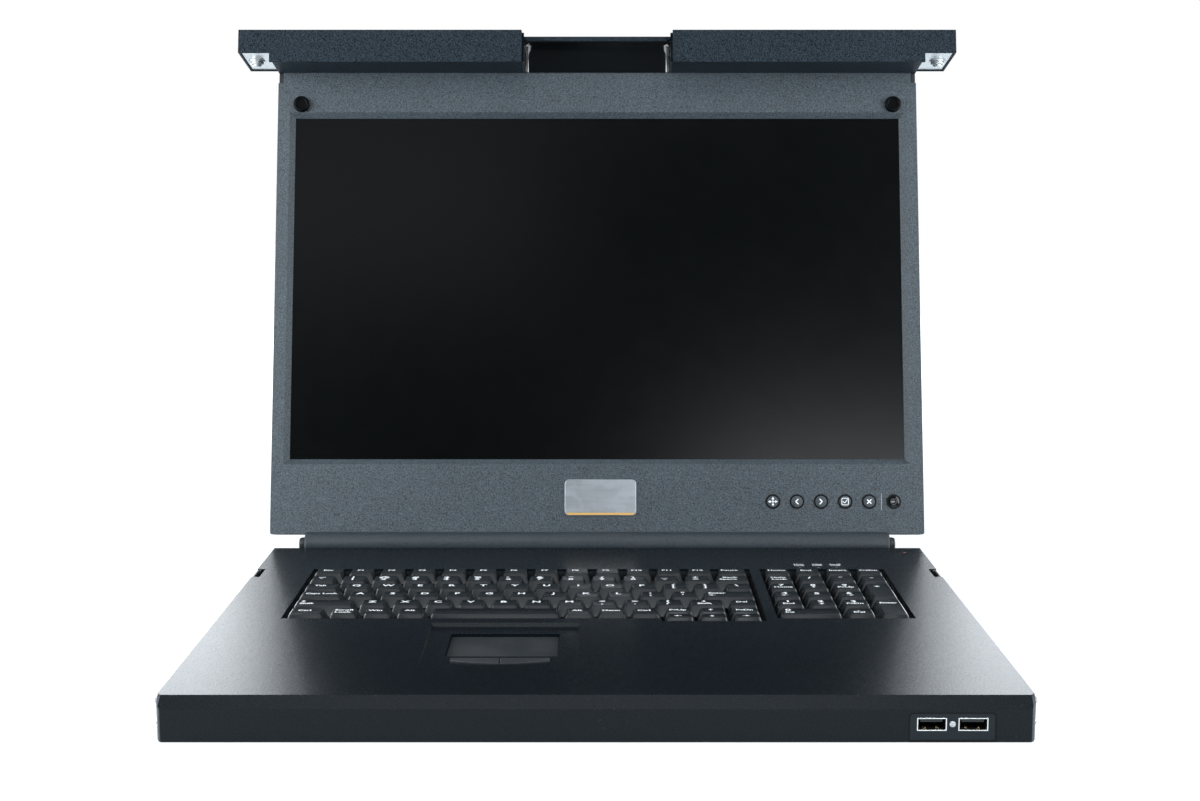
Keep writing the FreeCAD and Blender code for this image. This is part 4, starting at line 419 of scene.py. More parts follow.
SHINE["badge_silver"] = {"Metallic": 0.85}
finishes = {}
for effect_tree, rows in ((coat_tree, COATED), (grain_tree, MOULDED), (steel_tree, PLATED)):
    for slot, (name, *look) in rows.items():
        finishes[slot] = make_finish(name, effect_tree, *look, DUST.get(slot, USUAL_DUST),
                                     SHINE.get(slot, {}))
print("finishes:", len(finishes))
# %% [markdown]
# The frame's record names a slot for each solid, and most solids wear their slot's finish. A few
# look different from their slot's usual finish, such as the bar and the hinge barrel, whose darker
# copies of the lid's coat paint the shade that falls on them, and the buttons, whose black sides
# are made darker still to paint the shade of the gap round each disc as a ring.
# %% Finishes on the solids
LID_BUTTONS = ("menu_button", "left_button", "right_button", "select_button", "exit_button",
               "power_button")
node_slots = {part["node"]: part["material_slot"] for part in frame["record"]["subparts"]}
own_finish = {"rack_bar": "bar_shaded_paint", "hinge_barrel": "barrel_paint", "handle_cup": "cup_gloss",
              "usb_module_face": "module_black", "usb_tongues": "black_plastic"}
# Painted shade: the buttons' sides are near black, for the shade in the gap round each disc.
own_finish.update({name: "throat_black" for name in LID_BUTTONS})
for name, solid in nodes.items():
    for place in solid.material_slots:
        place.material = finishes[own_finish.get(name, node_slots[name])]
print("finishes on", len(node_slots), "nodes")
# %% [markdown]
# ## Pieces made of bmesh
# A piece starts as an empty bmesh that operators fill. One helper turns it into a finished piece,
# names the body that it rides on, and gives it the finish of its slot or another. A piece stays at
# the origin with its place in its mesh, like the solids. The other helpers measure, place and
# round.
# %% Piece helpers
def limits(points):
    """Lowest and highest corner of some points."""
    low = Vector([min(p[i] for p in points) for i in range(3)])
    high = Vector([max(p[i] for p in points) for i in range(3)])
    return low, high


def middle(low, high):
    """Middle of a box."""
    return (low + high) / 2


def at(x, y, z, degrees=0, axis="X"):
    """A place for a shape, turned by some degrees about one axis."""
    return Matrix.Translation((x, y, z)) @ Matrix.Rotation(math.radians(degrees), 4, axis)


def lay(shape, place):
    """Move a whole shape to its place."""
    bmesh.ops.transform(shape, matrix=place, verts=shape.verts)
    return shape


def stamp(target, shape, place=Matrix(), widen=1.0):
    """Move a shape to its place and join it to the target bmesh."""
    bmesh.ops.scale(shape, vec=(widen, 1, 1), verts=shape.verts)
    lay(shape, place)
    part = bpy.data.meshes.new("part")
    shape.to_mesh(part)
    shape.free()
    target.from_mesh(part)
    bpy.data.meshes.remove(part)


def bevel(shape, edges, offset, segments):
    """Round some edges."""
    bmesh.ops.bevel(shape, geom=edges, offset=offset, segments=segments, profile=0.5,
                    affect="EDGES", material=-1, clamp_overlap=True)


def round_corners(shape, corners, offset, segments):
    """Round some corners of a flat shape."""
    bmesh.ops.bevel(shape, geom=corners, offset=offset, segments=segments, profile=0.5,
                    affect="VERTICES", material=-1)


def add_box(shape, low, high):
    """Add a box between two corners and return its vertices."""
    made = bmesh.ops.create_cube(shape, size=1.0)["verts"]
    bmesh.ops.scale(shape, vec=Vector(high) - Vector(low), verts=made)
    bmesh.ops.translate(shape, vec=middle(Vector(low), Vector(high)), verts=made)
    return made


def make_piece(name, shape, body, slot, finish=None, place=Matrix(), node=None, smooth=35):
    """Finish a bmesh as a piece on a body, in its slot's finish or another.

    A piece that is given a node stands for the solids of that node.
    """
    lay(shape, place)
    mesh = bpy.data.meshes.new(name)
    shape.to_mesh(mesh)
    shape.free()
    mesh.materials.append(finishes[finish or slot])
    piece = bpy.data.objects.new(name, mesh)
    scene.collection.objects.link(piece)
    mesh.shade_smooth()
    mesh.set_sharp_from_angle(angle=math.radians(smooth))
    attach(piece, body)
    if node:
        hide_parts(node)
    print(name, "has", len(mesh.polygons), "faces")
    return piece


print("piece helpers ready")
# %% [markdown]
# ## Keys
# A key cap is a small moulded cup: straight sides that lean in, a wide sloping front and a flat
# top with barely rounded edges. The solids already stand where each key goes, so this cell reads
# every separate solid of a node and keeps its outline. A merged copy is searched, because the
# node's own mesh is loose triangles.
# %% Reading the solids of a node
MERGE = 1e-6
SAME_LEVEL = 1e-5


def separate_solids(node, into=Matrix()):
    """Corner lists of each separate solid of a node, seen in another frame."""
    merged = bmesh.new()
    merged.from_mesh(nodes[node].data)
    lay(merged, into)
    bmesh.ops.remove_doubles(merged, verts=merged.verts, dist=MERGE)
    waiting = set(merged.verts)
    groups = []
    while waiting:
        front = [waiting.pop()]
        group = list(front)
        while front:
            near = {e.other_vert(v) for v in front for e in v.link_edges} & waiting
            waiting -= near
            front = list(near)
            group += front
        groups.append([v.co.copy() for v in group])
    merged.free()
    return groups


def key_outline(points):
    """Skirt box and top box of one key solid."""
    low, high = limits(points)
    low.z = min(p.z for p in points if abs(p.x - low.x) < SAME_LEVEL)
    return (low, high), limits([p for p in points if abs(p.z - high.z) < SAME_LEVEL])


keys = {}
for name in nodes:
    if name == "space_bar" or node_slots[name] == "key_plastic" and "key" in name:
        outlines = [key_outline(points) for points in separate_solids(name)]
        keys[name] = sorted(outlines, key=lambda o: (-round(o[0][1].y, 3), o[0][0].x))
print("keys:", {name: len(outlines) for name, outlines in keys.items()})
# %% [markdown]
# Each cap starts as a box as large as the skirt. Its top face is scaled and moved to the top
# outline. The middle of the top sinks by a fraction of a millimetre, so that it catches light
# like a finger dish. The four corner edges are rounded, then the rim of the top.
# %% Key caps
CAP_CORNER = 0.0011
CAP_RIM = 0.0005
CAP_DISH = 0.00018
CAP_DISH_INSET = 0.0016
CAP_SEGMENTS = 2
FLAT_TOP = 0.95     # a face with this much of its normal upwards belongs to the top


def cap_shape(skirt, top):
    """One key cap between its skirt outline and its top outline."""
    shape = bmesh.new()
    upper = [v for v in add_box(shape, *skirt) if v.co.z > skirt[1].z - MERGE]
    old_centre, new_centre = middle(*skirt), middle(*top)
    old_size, new_size = skirt[1] - skirt[0], top[1] - top[0]
    share = (new_size.x / old_size.x, new_size.y / old_size.y, 1)
    bmesh.ops.translate(shape, vec=-old_centre, verts=upper)
    bmesh.ops.scale(shape, vec=share, verts=upper)
    bmesh.ops.translate(shape, vec=(new_centre.x, new_centre.y, old_centre.z), verts=upper)
    lid = [f for f in shape.faces if all(v in upper for v in f.verts)]
    sides = [e for e in shape.edges if abs(e.verts[0].co.z - e.verts[1].co.z) > 1e-4]
    bmesh.ops.inset_region(shape, faces=lid, thickness=CAP_DISH_INSET)
    bmesh.ops.translate(shape, vec=(0, 0, -CAP_DISH), verts=list({v for f in lid for v in f.verts}))
    bevel(shape, sides, CAP_CORNER, CAP_SEGMENTS)
    shape.normal_update()
    rim = [e for e in shape.edges if all(abs(v.co.z - top[1].z) < MERGE for v in e.verts)
           and any(f.normal.z < FLAT_TOP for f in e.link_faces)]
    bevel(shape, rim, CAP_RIM, CAP_SEGMENTS)
    bmesh.ops.recalc_face_normals(shape, faces=shape.faces)
    return shape


for name, outlines in keys.items():
    caps = bmesh.new()
    for skirt, top in outlines:
        stamp(caps, cap_shape(skirt, top))
    make_piece(name + "_caps", caps, name, "key_plastic", node=name)
# %% [markdown]
# Key legends are printed, so they are flat marks a few hundredths of a millimetre thick. A text
# object is turned into a mesh first, then scaled and put on its key. Arrows and the drawn
# symbols are made of a triangle and a bar, because a font may lack them.
# %% Lettering helpers
PRINT_LIFT = 0.00004
CAPITAL_SHARE = 0.7     # height of a capital in a text of size one
INK_SPREAD = 0.045
# Place of an arrow's tip, then length, width and place of its bar, as shares of its length.
TIP_PLACE, BAR_LENGTH, BAR_WIDTH, BAR_PLACE = 0.25, 0.7, 0.16, -0.2


def text_shape(words, height):
    """A bmesh of flat words, centred on the origin, with capitals this high."""
    curve = bpy.data.curves.new("words", "FONT")
    curve.body = words
    curve.align_x = "CENTER"
    curve.align_y = "CENTER"
    curve.size = height / CAPITAL_SHARE
    curve.offset = height * INK_SPREAD
    curve.resolution_u = 2
    holder = bpy.data.objects.new("words", curve)
    scene.collection.objects.link(holder)
    bpy.context.view_layer.update()
    mesh = bpy.data.meshes.new_from_object(holder.evaluated_get(
        bpy.context.evaluated_depsgraph_get()))
    shape = bmesh.new()
    shape.from_mesh(mesh)
    bpy.data.objects.remove(holder)
    bpy.data.curves.remove(curve)
    bpy.data.meshes.remove(mesh)
    return shape


def arrow_shape(turn, length, head=0.5):
    """A flat arrow that points along +x, turned by some degrees; head is its tip's share."""
    shape = bmesh.new()
    tip = bmesh.ops.create_circle(shape, cap_ends=True, segments=3, radius=length * head)["verts"]
    bmesh.ops.transform(shape, verts=tip, matrix=at(length * TIP_PLACE, 0, 0, -90, "Z"))
    bar = bmesh.ops.create_grid(shape, x_segments=1, y_segments=1, size=0.5)["verts"]
    bmesh.ops.scale(shape, verts=bar, vec=(length * BAR_LENGTH, length * BAR_WIDTH, 1))
    bmesh.ops.translate(shape, verts=bar, vec=(length * BAR_PLACE, 0, 0))
    return lay(shape, at(0, 0, 0, turn, "Z"))


ARROWS = {"<-": 180, "->": 0, "^": 90, "v": -90}
print("arrows:", ARROWS)
# %% [markdown]
# The legends follow the order in which the keys were read: rows from the back, each from left to
# right. A bar in a legend parts its lines, and a one-letter line is larger than a word. A legend
# stands at the back left of its key. On a wide key, or where it fills most of the key, it starts
# at the left edge.
# %% Legends
LETTER, WORD, LINE = 0.0041, 0.0026, 0.0044     # heights
SPARE_LINES = 0.6                   # free depth on a key top, in lines
MIDDLE = 0.62                       # from the back of a line to the middle of its letters
ARROW, CAPITAL = 0.62, 0.84         # most that an arrow or a capital takes of a line
GAP, LONE_GAP = 0.0006, 0.12        # behind several lines; behind a lone one, of the depth
WIDE_KEY = 0.018
WIDEN, FILL = 1.25, 0.86            # most that words are widened; most that they fill
MIDST, LONG = 0.42, 0.6             # middle of short words; share of the key that is long
EDGE, LEAST_EDGE = 0.05, 0.0035     # free share at the left; least distance of a middle
legends = {
    "function_keys": ["Esc"] + ["F%d" % n for n in range(1, 13)] + ["Pause"],
    "number_keys": ["~|`", "!|1", "@|2", "#|3", "$|4", "%|5", "^ |6", "&|7", "*|8", "(|9", ")|0",
                    "_|-", "+|="],
    "backspace_key": ["Back|Space"],
    "qwerty_keys": ["Tab", *"QWERTYUIOP", "{|[", "}|]", "\\"],
    "home_row_keys": ["Caps Lock", *"ASDFGHJKL", ":|;", "\"|'"],
    "enter_key": ["Enter|<-"],
    "shift_row_keys": ["^|Shift", *"ZXCVBNM", "<|,", ">|.", "?|/", "^|Shift", "Del"],
    "modifier_keys": ["Ctrl", "Scroll|Lock", "Win", "Alt", "Alt", "Menu", "Ctrl"],
    "arrow_keys": ["PgUp", "^", "PgDn", "<-", "v", "->"],
    "keypad_keys": ["Home", "End", "Insert", "PrtScn", "Num|Lock", "/", "*", "-", "7|Home",
                    "8|^", "9|PgUp", "4|<-", "5", "6|->", "1|End", "2|v", "3|PgDn", ".|Del"],
    "keypad_plus_key": ["+"],
    "keypad_enter_key": ["Enter"],
    "keypad_zero_key": ["0|Ins"],
}


def add_legend(target, legend, top):
    """Print a legend on the back left of one key top."""
    low, high = top
    lines = legend.split("|")
    width = high.x - low.x
    depth = high.y - low.y
    line = min(LINE, depth / (len(lines) + SPARE_LINES))
    y = high.y - line * MIDDLE - (GAP if len(lines) > 1 else depth * LONE_GAP)
    for words in lines:
        if words in ARROWS:
            shape = arrow_shape(ARROWS[words], line * ARROW)
        else:
            shape = text_shape(words, min(LETTER if len(words) == 1 else WORD, line * CAPITAL))
        reach = max(abs(v.co.x) for v in shape.verts)
        widen = min(WIDEN, width * FILL / (2 * reach))
        reach *= widen
        x = low.x + width * MIDST
        if width > WIDE_KEY or 2 * reach > width * LONG:
            x = low.x + max(reach + width * EDGE, LEAST_EDGE)
        stamp(target, shape, at(x, y, high.z - CAP_DISH + PRINT_LIFT), widen)
        y -= line


for name, outlines in keys.items():
    if name in legends:
        marks = bmesh.new()
        for legend, (skirt, top) in zip(legends[name], outlines):
            add_legend(marks, legend, top)
        make_piece(name + "_legends", marks, name, "white_plastic")
# %% [markdown]
# ## Edges that catch the light
# No folded sheet or moulded part has a knife edge, and a few edges need more than a rounding. The
# tray's front corners are cut off. The step behind the touchpad leans once its two upper corners
# are moved out. The inner corners of the finger recess get a wider radius.
# %% Special edges
FRONT_DEPTH = 0.012
FRONT_CHAMFER = 0.002
UPRIGHT = 0.002             # least height of an upright edge
NEAR_PAD = 0.05
STEP_BEHIND = (0.010, 0.020)
STEP_BESIDE = (0.008, 0.014)
STEP_LEAN = 0.0016
CUP_CORNER = 0.003
CUP_EDGE = 0.004            # least length of an edge of the recess
CUP_ANGLE = 20


def cut_front_corners(shape):
    """Cut off the upright edges at the two front corners."""
    low, high = limits([v.co for v in shape.verts])
    corners = [e for e in shape.edges
               if all(min(v.co.x - low.x, high.x - v.co.x) < 1e-4
                      and v.co.y < low.y + FRONT_DEPTH for v in e.verts)
               and abs(e.verts[0].co.z - e.verts[1].co.z) > UPRIGHT]
    bevel(shape, corners, FRONT_CHAMFER, 1)


def ease_pad_step(shape):
    """Lean the step behind the touchpad by moving its two upper corners out."""
    pad_low, pad_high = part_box("touchpad_surface")
    level = max(v.co.z for v in shape.verts
                if abs(v.co.y - pad_high.y) < NEAR_PAD and abs(v.co.x) < NEAR_PAD)
    moved = 0
    for v in shape.verts:
        behind = v.co.y - pad_high.y
        beside = max(pad_low.x - v.co.x, v.co.x - pad_high.x)
        if (abs(v.co.z - level) < 2e-4 and STEP_BEHIND[0] < behind < STEP_BEHIND[1]
                and STEP_BESIDE[0] < beside < STEP_BESIDE[1]):
            v.co.x += math.copysign(STEP_LEAN, v.co.x - (pad_low.x + pad_high.x) / 2)
            v.co.y += STEP_LEAN
            moved += 1
    print("step corners moved:", moved)


def hollow_corners(shape):
    """Round the upright inner corners of the finger recess more widely."""
    shape.normal_update()
    inner = [e for e in shape.edges if len(e.link_faces) == 2 and not e.is_convex
             and e.calc_face_angle(0) > math.radians(CUP_ANGLE) and e.calc_length() > CUP_EDGE
             and abs((e.verts[0].co - e.verts[1].co).normalized().x) < 0.1]
    print("hollow corners:", len(inner))
    bevel(shape, inner, CUP_CORNER, 6)


EXTRA_CHANGES = {"deck_cover": (ease_pad_step, cut_front_corners),
                 "handle_cup": (hollow_corners,)}
# %% [markdown]
# The solids are exact but sharp. A copy of each visible solid is merged, its flat faces are
# joined again, and every sharp edge is rounded by a fraction of a millimetre. The copy then
# stands for its solid. The rounding is small enough to keep the solid's size, and the share of
# the volume that is left is printed as a check.
# %% Rounded copies
FLAT_WITHIN = 0.5
SHARP_ANGLE = 32
SMOOTH_ANGLE = 50
ROUNDED = {
    "rack_bar": 0.00035, "lid_front_frame": 0.0003, "lid_back_cover": 0.0004,
    "deck_cover": 0.00035, "touchpad_surface": 0.0003, "touchpad_button_left": 0.0004,
    "touchpad_button_right": 0.0004, "usb_module_face": 0.0002, "badge_plate": 0.0004,
    "side_catch_left": 0.0003, "side_catch_right": 0.0003, "ear_plates": 0.0002,
    "hinge_brackets": 0.0003, "hinge_pins": 0.0003, "handle_cup": 0.0004, "hinge_barrel": 0.0003,
    "captive_screw_left": 0.0002, "captive_screw_right": 0.0002, "usb_ports": 0.00015,
    "slide_member_left": 0.0003, "slide_member_right": 0.0003, "base_pan": 0.0003,
}


def rounded_copy(node, radius):
    """Replace a node by a copy of it with rounded edges."""
    shape = bmesh.new()
    shape.from_mesh(nodes[node].data)
    bmesh.ops.remove_doubles(shape, verts=shape.verts, dist=MERGE)
    before = shape.calc_volume()
    bmesh.ops.dissolve_limit(shape, angle_limit=math.radians(FLAT_WITHIN), verts=shape.verts,
                             edges=shape.edges)
    for change in EXTRA_CHANGES.get(node, ()):
        change(shape)
    edges = [e for e in shape.edges
             if len(e.link_faces) == 2 and e.calc_face_angle(0) > math.radians(SHARP_ANGLE)]
    bevel(shape, edges, radius, 2)
    after = shape.calc_volume()
    low, high = limits([v.co for v in shape.verts])
    grown = max((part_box(node)[0] - low).length, (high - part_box(node)[1]).length)
    piece = make_piece(node + "_dressed", shape, nodes[node]["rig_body"], node_slots[node],
                       own_finish.get(node), node=node, smooth=SMOOTH_ANGLE)
    even = piece.modifiers.new("flat_faces_stay_flat", "WEIGHTED_NORMAL")
    even.keep_sharp = True
    even.weight = 100
    print("volume kept", round(after / before, 4), "grown", round(grown, 5))


for node, radius in ROUNDED.items():
    rounded_copy(node, radius)
# %% [markdown]
# ## The lid's own directions
# The lid leans back, so its small parts are drawn flat and then leaned. The widest triangle of
# the screen glass says how far: its normal points out of the lid, and two cross products give the
# directions across and up. Everything on the lid can then be placed in plain lid coordinates.
# %% Lid directions
widest = max(nodes["screen_glass"].data.polygons, key=lambda face: face.area)
lid_out = widest.normal.copy()
if lid_out.y > 0:
    lid_out.negate()
lid_across = Vector((1, 0, 0))
lid_up = lid_out.cross(lid_across)
LID = Matrix((lid_across, lid_up, lid_out)).transposed().to_4x4()


def lid_points(node):
    """Corners of a node in lid coordinates."""
    return [LID.inverted() @ v.co for v in nodes[node].data.vertices]


def lid_spot(x, up, out):
    """Place on the lid for a shape that was drawn flat."""
    return LID @ at(x, up, out)


frame_high = limits(lid_points("lid_front_frame"))[1]
FACE = frame_high.z
print("lid leans", round(math.degrees(math.asin(lid_up.y)), 1), "degrees")
# %% [markdown]
# ## Flat shapes, bands and turned parts
# Most small parts start from one of three shapes. A plate is a grid square whose corners are
# bevelled. A band is what an inset leaves when its middle is deleted. A turned part is a
# profile spun a full turn, as on a lathe, with its doubles merged so that the poles close.
# %% Shape helpers
BAR_END = 0.3       # radius of a bar's corners, as a share of its width
RIM_ANGLE = 0.5     # an edge that turns more than this, in radians, is part of a rim


def plate_shape(width, height, corner=0.0, steps=4):
    """A flat rectangle on the origin with rounded corners."""
    shape = bmesh.new()
    bmesh.ops.create_grid(shape, x_segments=1, y_segments=1, size=0.5)
    bmesh.ops.scale(shape, vec=(width, height, 1), verts=shape.verts)
    if corner:
        round_corners(shape, shape.verts[:], corner, steps)
    return shape


def disc_shape(radius, steps=40):
    """A flat disc on the origin."""
    shape = bmesh.new()
    bmesh.ops.create_circle(shape, cap_ends=True, segments=steps, radius=radius)
    return shape


def bar_shape(length, width, turn, spot):
    """A flat bar turned by some degrees, for drawn symbols."""
    return lay(plate_shape(length, width, width * BAR_END, 2), at(*spot, 0, turn, "Z"))


def band_of(shape, width):
    """Keep only a band along the outline of a flat shape."""
    inside = shape.faces[:]
    bmesh.ops.inset_region(shape, faces=inside, thickness=width, use_boundary=True,
                           use_even_offset=True)
    bmesh.ops.delete(shape, geom=inside, context="FACES")
    return shape


def made_of(made, kind):
    """The elements of one kind among those that an operator made."""
    return [g for g in made["geom"] if isinstance(g, kind)]


def thicken(shape, height, rim=0.0):
    """Give a flat shape some height and round its upper rim."""
    made = bmesh.ops.extrude_face_region(shape, geom=shape.faces[:])
    bmesh.ops.translate(shape, vec=(0, 0, height), verts=made_of(made, bmesh.types.BMVert))
    bmesh.ops.recalc_face_normals(shape, faces=shape.faces)
    if rim:
        edges = [e for e in shape.edges if all(v.co.z > height - 1e-7 for v in e.verts)
                 and e.calc_face_angle(0) > RIM_ANGLE]
        bevel(shape, edges, rim, 2)
    return shape


def lathe(profile, steps=40):
    """Spin a profile of (radius, height) points round the z axis."""
    shape = bmesh.new()
    corners = [shape.verts.new((radius, 0, height)) for radius, height in profile]
    lines = [shape.edges.new(pair) for pair in zip(corners, corners[1:])]
    bmesh.ops.spin(shape, geom=corners + lines, cent=(0, 0, 0), axis=(0, 0, 1), angle=math.tau,
                   steps=steps, use_merge=True)
    bmesh.ops.remove_doubles(shape, verts=shape.verts, dist=MERGE)
    bmesh.ops.recalc_face_normals(shape, faces=shape.faces)
    return shape


print("shape helpers ready")
# %% [markdown]
# ## Menu and power buttons
# Five buttons steer the screen's menu and a sixth switches it on. Each shows a disc in the lid's
# colour inside a black ring, and the sheet has a small raised lip round each hole. The ring is the
# button's black side made darker still, which paints the shade of the gap round the disc. The disc
# rides on its button, so it goes in when the button is pressed, and the lip stays on the lid.
# %% Button faces
FACE_SHARE = 0.80
FACE_HEIGHT = 0.00012
LIP_GAP, LIP_WIDTH = 0.00025, 0.00035
LIP_HEIGHT, LIP_RIM = 0.00014, 0.00006


def button_top(node):
    """Centre and radius of a button's top, in lid coordinates."""
    points = lid_points(node)
    top = max(p.z for p in points)
    low, high = limits([p for p in points if top - p.z < SAME_LEVEL])
    return middle(low, high), (high.x - low.x) / 2


lips = bmesh.new()
button_spots = {}
for node in LID_BUTTONS:
    centre, radius = button_top(node)
    button_spots[node] = centre
    face = thicken(disc_shape(radius * FACE_SHARE), FACE_HEIGHT, FACE_HEIGHT / 2)
    paint = "gloss_black" if node == "power_button" else "button_paint"
    make_piece(node + "_face", face, node, "black_plastic", paint, lid_spot(*centre))
    lip = band_of(disc_shape(radius + LIP_GAP + LIP_WIDTH), LIP_WIDTH)
    stamp(lips, thicken(lip, LIP_HEIGHT, LIP_RIM), lid_spot(centre.x, centre.y, FACE))
make_piece("button_hole_lips", lips, "lid", "lid_paint")
# %% [markdown]
# The symbols are the common ones for menu, back, forward, accept, leave and power. They are built
# from bars, arrows and bands, and printed a hair above the discs. A table holds the bars of each
# symbol. Three symbols also have an outline: four arrows, a square and a ring with a gap.
# %% Button symbols
STROKE = 0.00072
THIN = 0.6 * STROKE
# The bars of a symbol have a length, a width in strokes, a turn in degrees and a place.
BARS = {
    "menu_button": [(0.0036, 0.8, 0, (0, 0)), (0.0036, 0.8, 90, (0, 0))],
    "left_button": [(0.0027, 1, 45, (0, 0.0008)), (0.0027, 1, -45, (0, -0.0008))],
    "right_button": [(0.0027, 1, -45, (0, 0.0008)), (0.0027, 1, 45, (0, -0.0008))],
    "select_button": [(0.0015, 0.62, -45, (-0.0009, -0.0004)),
                      (0.0031, 0.62, 52, (0.0006, 0.0002))],
    "exit_button": [(0.0040, 1, 45, (0, 0)), (0.0040, 1, -45, (0, 0))],
    "power_button": [(0.0021, 0.8, 90, (0, 0.0012))],
}
ARROW_LENGTH, ARROW_HEAD, ARROW_REACH = 0.0019, 0.58, 0.00165
SQUARE_SIZE, SQUARE_CORNER = 0.0048, 0.0008
RING_RADIUS, RING_GAP = 0.0022, 0.0007


def outline_parts(node):
    """Flat shapes of a symbol's outline, if it has one."""
    if node == "menu_button":
        out = at(ARROW_REACH, 0, 0)
        return [lay(arrow_shape(0, ARROW_LENGTH, ARROW_HEAD), at(0, 0, 0, turn, "Z") @ out)
                for turn in (0, 90, 180, 270)]
    if node == "select_button":
        return [band_of(plate_shape(SQUARE_SIZE, SQUARE_SIZE, SQUARE_CORNER), THIN)]
    if node == "power_button":
        ring = band_of(disc_shape(RING_RADIUS), THIN)
        centres = [(face, face.calc_center_median()) for face in ring.faces]
        gap = [face for face, centre in centres if abs(centre.x) < RING_GAP and centre.y > 0]
        bmesh.ops.delete(ring, geom=gap, context="FACES")
        return [ring]
    return []


for node, centre in button_spots.items():
    symbol = bmesh.new()
    place = lid_spot(centre.x, centre.y, centre.z + FACE_HEIGHT + PRINT_LIFT)
    bars = [bar_shape(length, STROKE * share, *rest) for length, share, *rest in BARS[node]]
    for part in outline_parts(node) + bars:
        stamp(symbol, part, place)
    finish = "power_mark" if node == "power_button" else "white_plastic"
    make_piece(node + "_symbol", symbol, node, "white_plastic", finish)
# %% [markdown]
# A short pale line parts the power button from the menu buttons. It is a thin strip with rounded
# ends, halfway between the last two buttons.
# %% Parting line
LINE_SIZE, LINE_END, LINE_THICK = (0.00042, 0.0112), 0.0002, 0.00005
exit_spot, power_spot = button_spots["exit_button"], button_spots["power_button"]
line = thicken(plate_shape(*LINE_SIZE, LINE_END, 3), LINE_THICK)
make_piece("button_parting_line", line, "lid", "white_plastic", "grey_print",
           lid_spot(middle(exit_spot, power_spot).x, exit_spot.y, FACE))
# %% [markdown]
# ## Badge, bumpers and corner tabs
# The badge is a bare brushed plate with an amber band along its foot. The band is printed, so it
# is only a few hundredths of a millimetre thick.
# %% Badge band
BAND_INSET, BAND_HEIGHT, BAND_CORNER = 0.0028, 0.0014, 0.0006
BAND_RISE, BAND_THICK = 0.0012, 0.00004
badge_low, badge_high = limits(lid_points("badge_plate"))
band = plate_shape(badge_high.x - badge_low.x - BAND_INSET, BAND_HEIGHT, BAND_CORNER)
make_piece("badge_band", thicken(band, BAND_THICK), "lid", "badge_silver", "amber_print",
           lid_spot(middle(badge_low, badge_high).x, badge_low.y + BAND_RISE, badge_high.z))
# %% [markdown]
# The bumpers keep the lid off the keys when it shuts: each is a turned rubber foot with a raised
# rim and a sunk middle. A row of pairs says how far the corners of the rim lie inside the foot's
# side and below its top.
# %% Bumpers
BUMPER_RIM = ((0, 0.0011), (0.0003, 0.0004), (0.0009, 0), (0.0014, 0), (0.0018, 0.0003),
              (0.0020, 0.0012))
BUMPER_SUNK = 0.0014
bumpers = bmesh.new()
for points in separate_solids("lid_bumpers", LID.inverted()):
    low, high = limits(points)
    radius = (high.x - low.x) / 2
    height = high.z - FACE
    rim = [(radius - inside, height - below) for inside, below in BUMPER_RIM]
    profile = [(0, 0), (radius, 0), *rim, (0, height - BUMPER_SUNK)]
    stamp(bumpers, lathe(profile), lid_spot(*middle(low, high).xy, FACE))
make_piece("lid_bumpers_turned", bumpers, "lid", "rubber", "bumper_rubber", node="lid_bumpers")
# %% [markdown]
# Behind the reliefs at the lid's upper corners show tabs of the back cover, in a near-black finish
# that paints the shade inside the reliefs. Each is a thin upright box just inside the outline of
# the front frame.
# %% Corner tabs
TAB_WIDTH, TAB_LENGTH = 0.0028, 0.0064
TAB_SIDE, TAB_TOP = 0.0004, 0.0002          # inside the side and the top of the frame
TAB_DEEP, TAB_SHALLOW = 0.0056, 0.0009      # below the lid's face
TAB_EDGE = 0.0002
tabs = bmesh.new()
for side in (-1, 1):
    ends = sorted(side * (frame_high.x - TAB_SIDE - width) for width in (0, TAB_WIDTH))
    add_box(tabs, (ends[0], frame_high.y - TAB_TOP - TAB_LENGTH, FACE - TAB_DEEP),
            (ends[1], frame_high.y - TAB_TOP, FACE - TAB_SHALLOW))
bevel(tabs, tabs.edges[:], TAB_EDGE, 1)
make_piece("lid_corner_tabs", tabs, "lid", "black_steel", place=LID)
# %% [markdown]
# ## Lamps and their labels
# Small lenses show through the deck: a red status lamp at the back right, and three smoky ones
# for the keyboard's locks. A larger clear dome sits between the two front sockets. All are turned
# shapes with domed ends.
# %% Lamp lenses
FRONT_LENS, FRONT_LENGTH = 0.00175, 0.004
DOME_SHARE = 0.5        # height of a dome, as a share of its radius
DOME_STEP, DOME_POINTS = 15, 6


def lens_shape(radius, length):
    """A short rod with a domed end at the top."""
    dome = radius * DOME_SHARE
    turns = [math.radians(DOME_STEP * k) for k in range(DOME_POINTS)]
    curve = [(radius * math.cos(a), length - dome + dome * math.sin(a)) for a in turns]
    return lathe([(0, 0), (radius, 0), *curve, (0, length)], 28)


lamps = sorted((limits(points) for points in separate_solids("indicator_lamps")),
               key=lambda box: (box[1].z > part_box("space_bar")[0].z, box[0].x))
(front_low, front_high), *lock_boxes, status_box = lamps
front_place = at(middle(front_low, front_high).x, front_low.y + FRONT_LENGTH,
                 front_high.z - FRONT_LENS, 90)
make_piece("front_lens", lens_shape(FRONT_LENS, FRONT_LENGTH), "tray", "lamp_clear",
           place=front_place, node="indicator_lamps")
for name, boxes, finish in (("lock_lenses", lock_boxes, "smoke_lens"),
                            ("status_lens", [status_box], "red_lens")):
    lenses = bmesh.new()
    for low, high in boxes:
        stamp(lenses, lens_shape((high.x - low.x) / 2, high.z - low.z),
              at(*middle(low, high).xy, low.z))
    make_piece(name, lenses, "tray", "lamp_clear", finish, node="indicator_lamps")
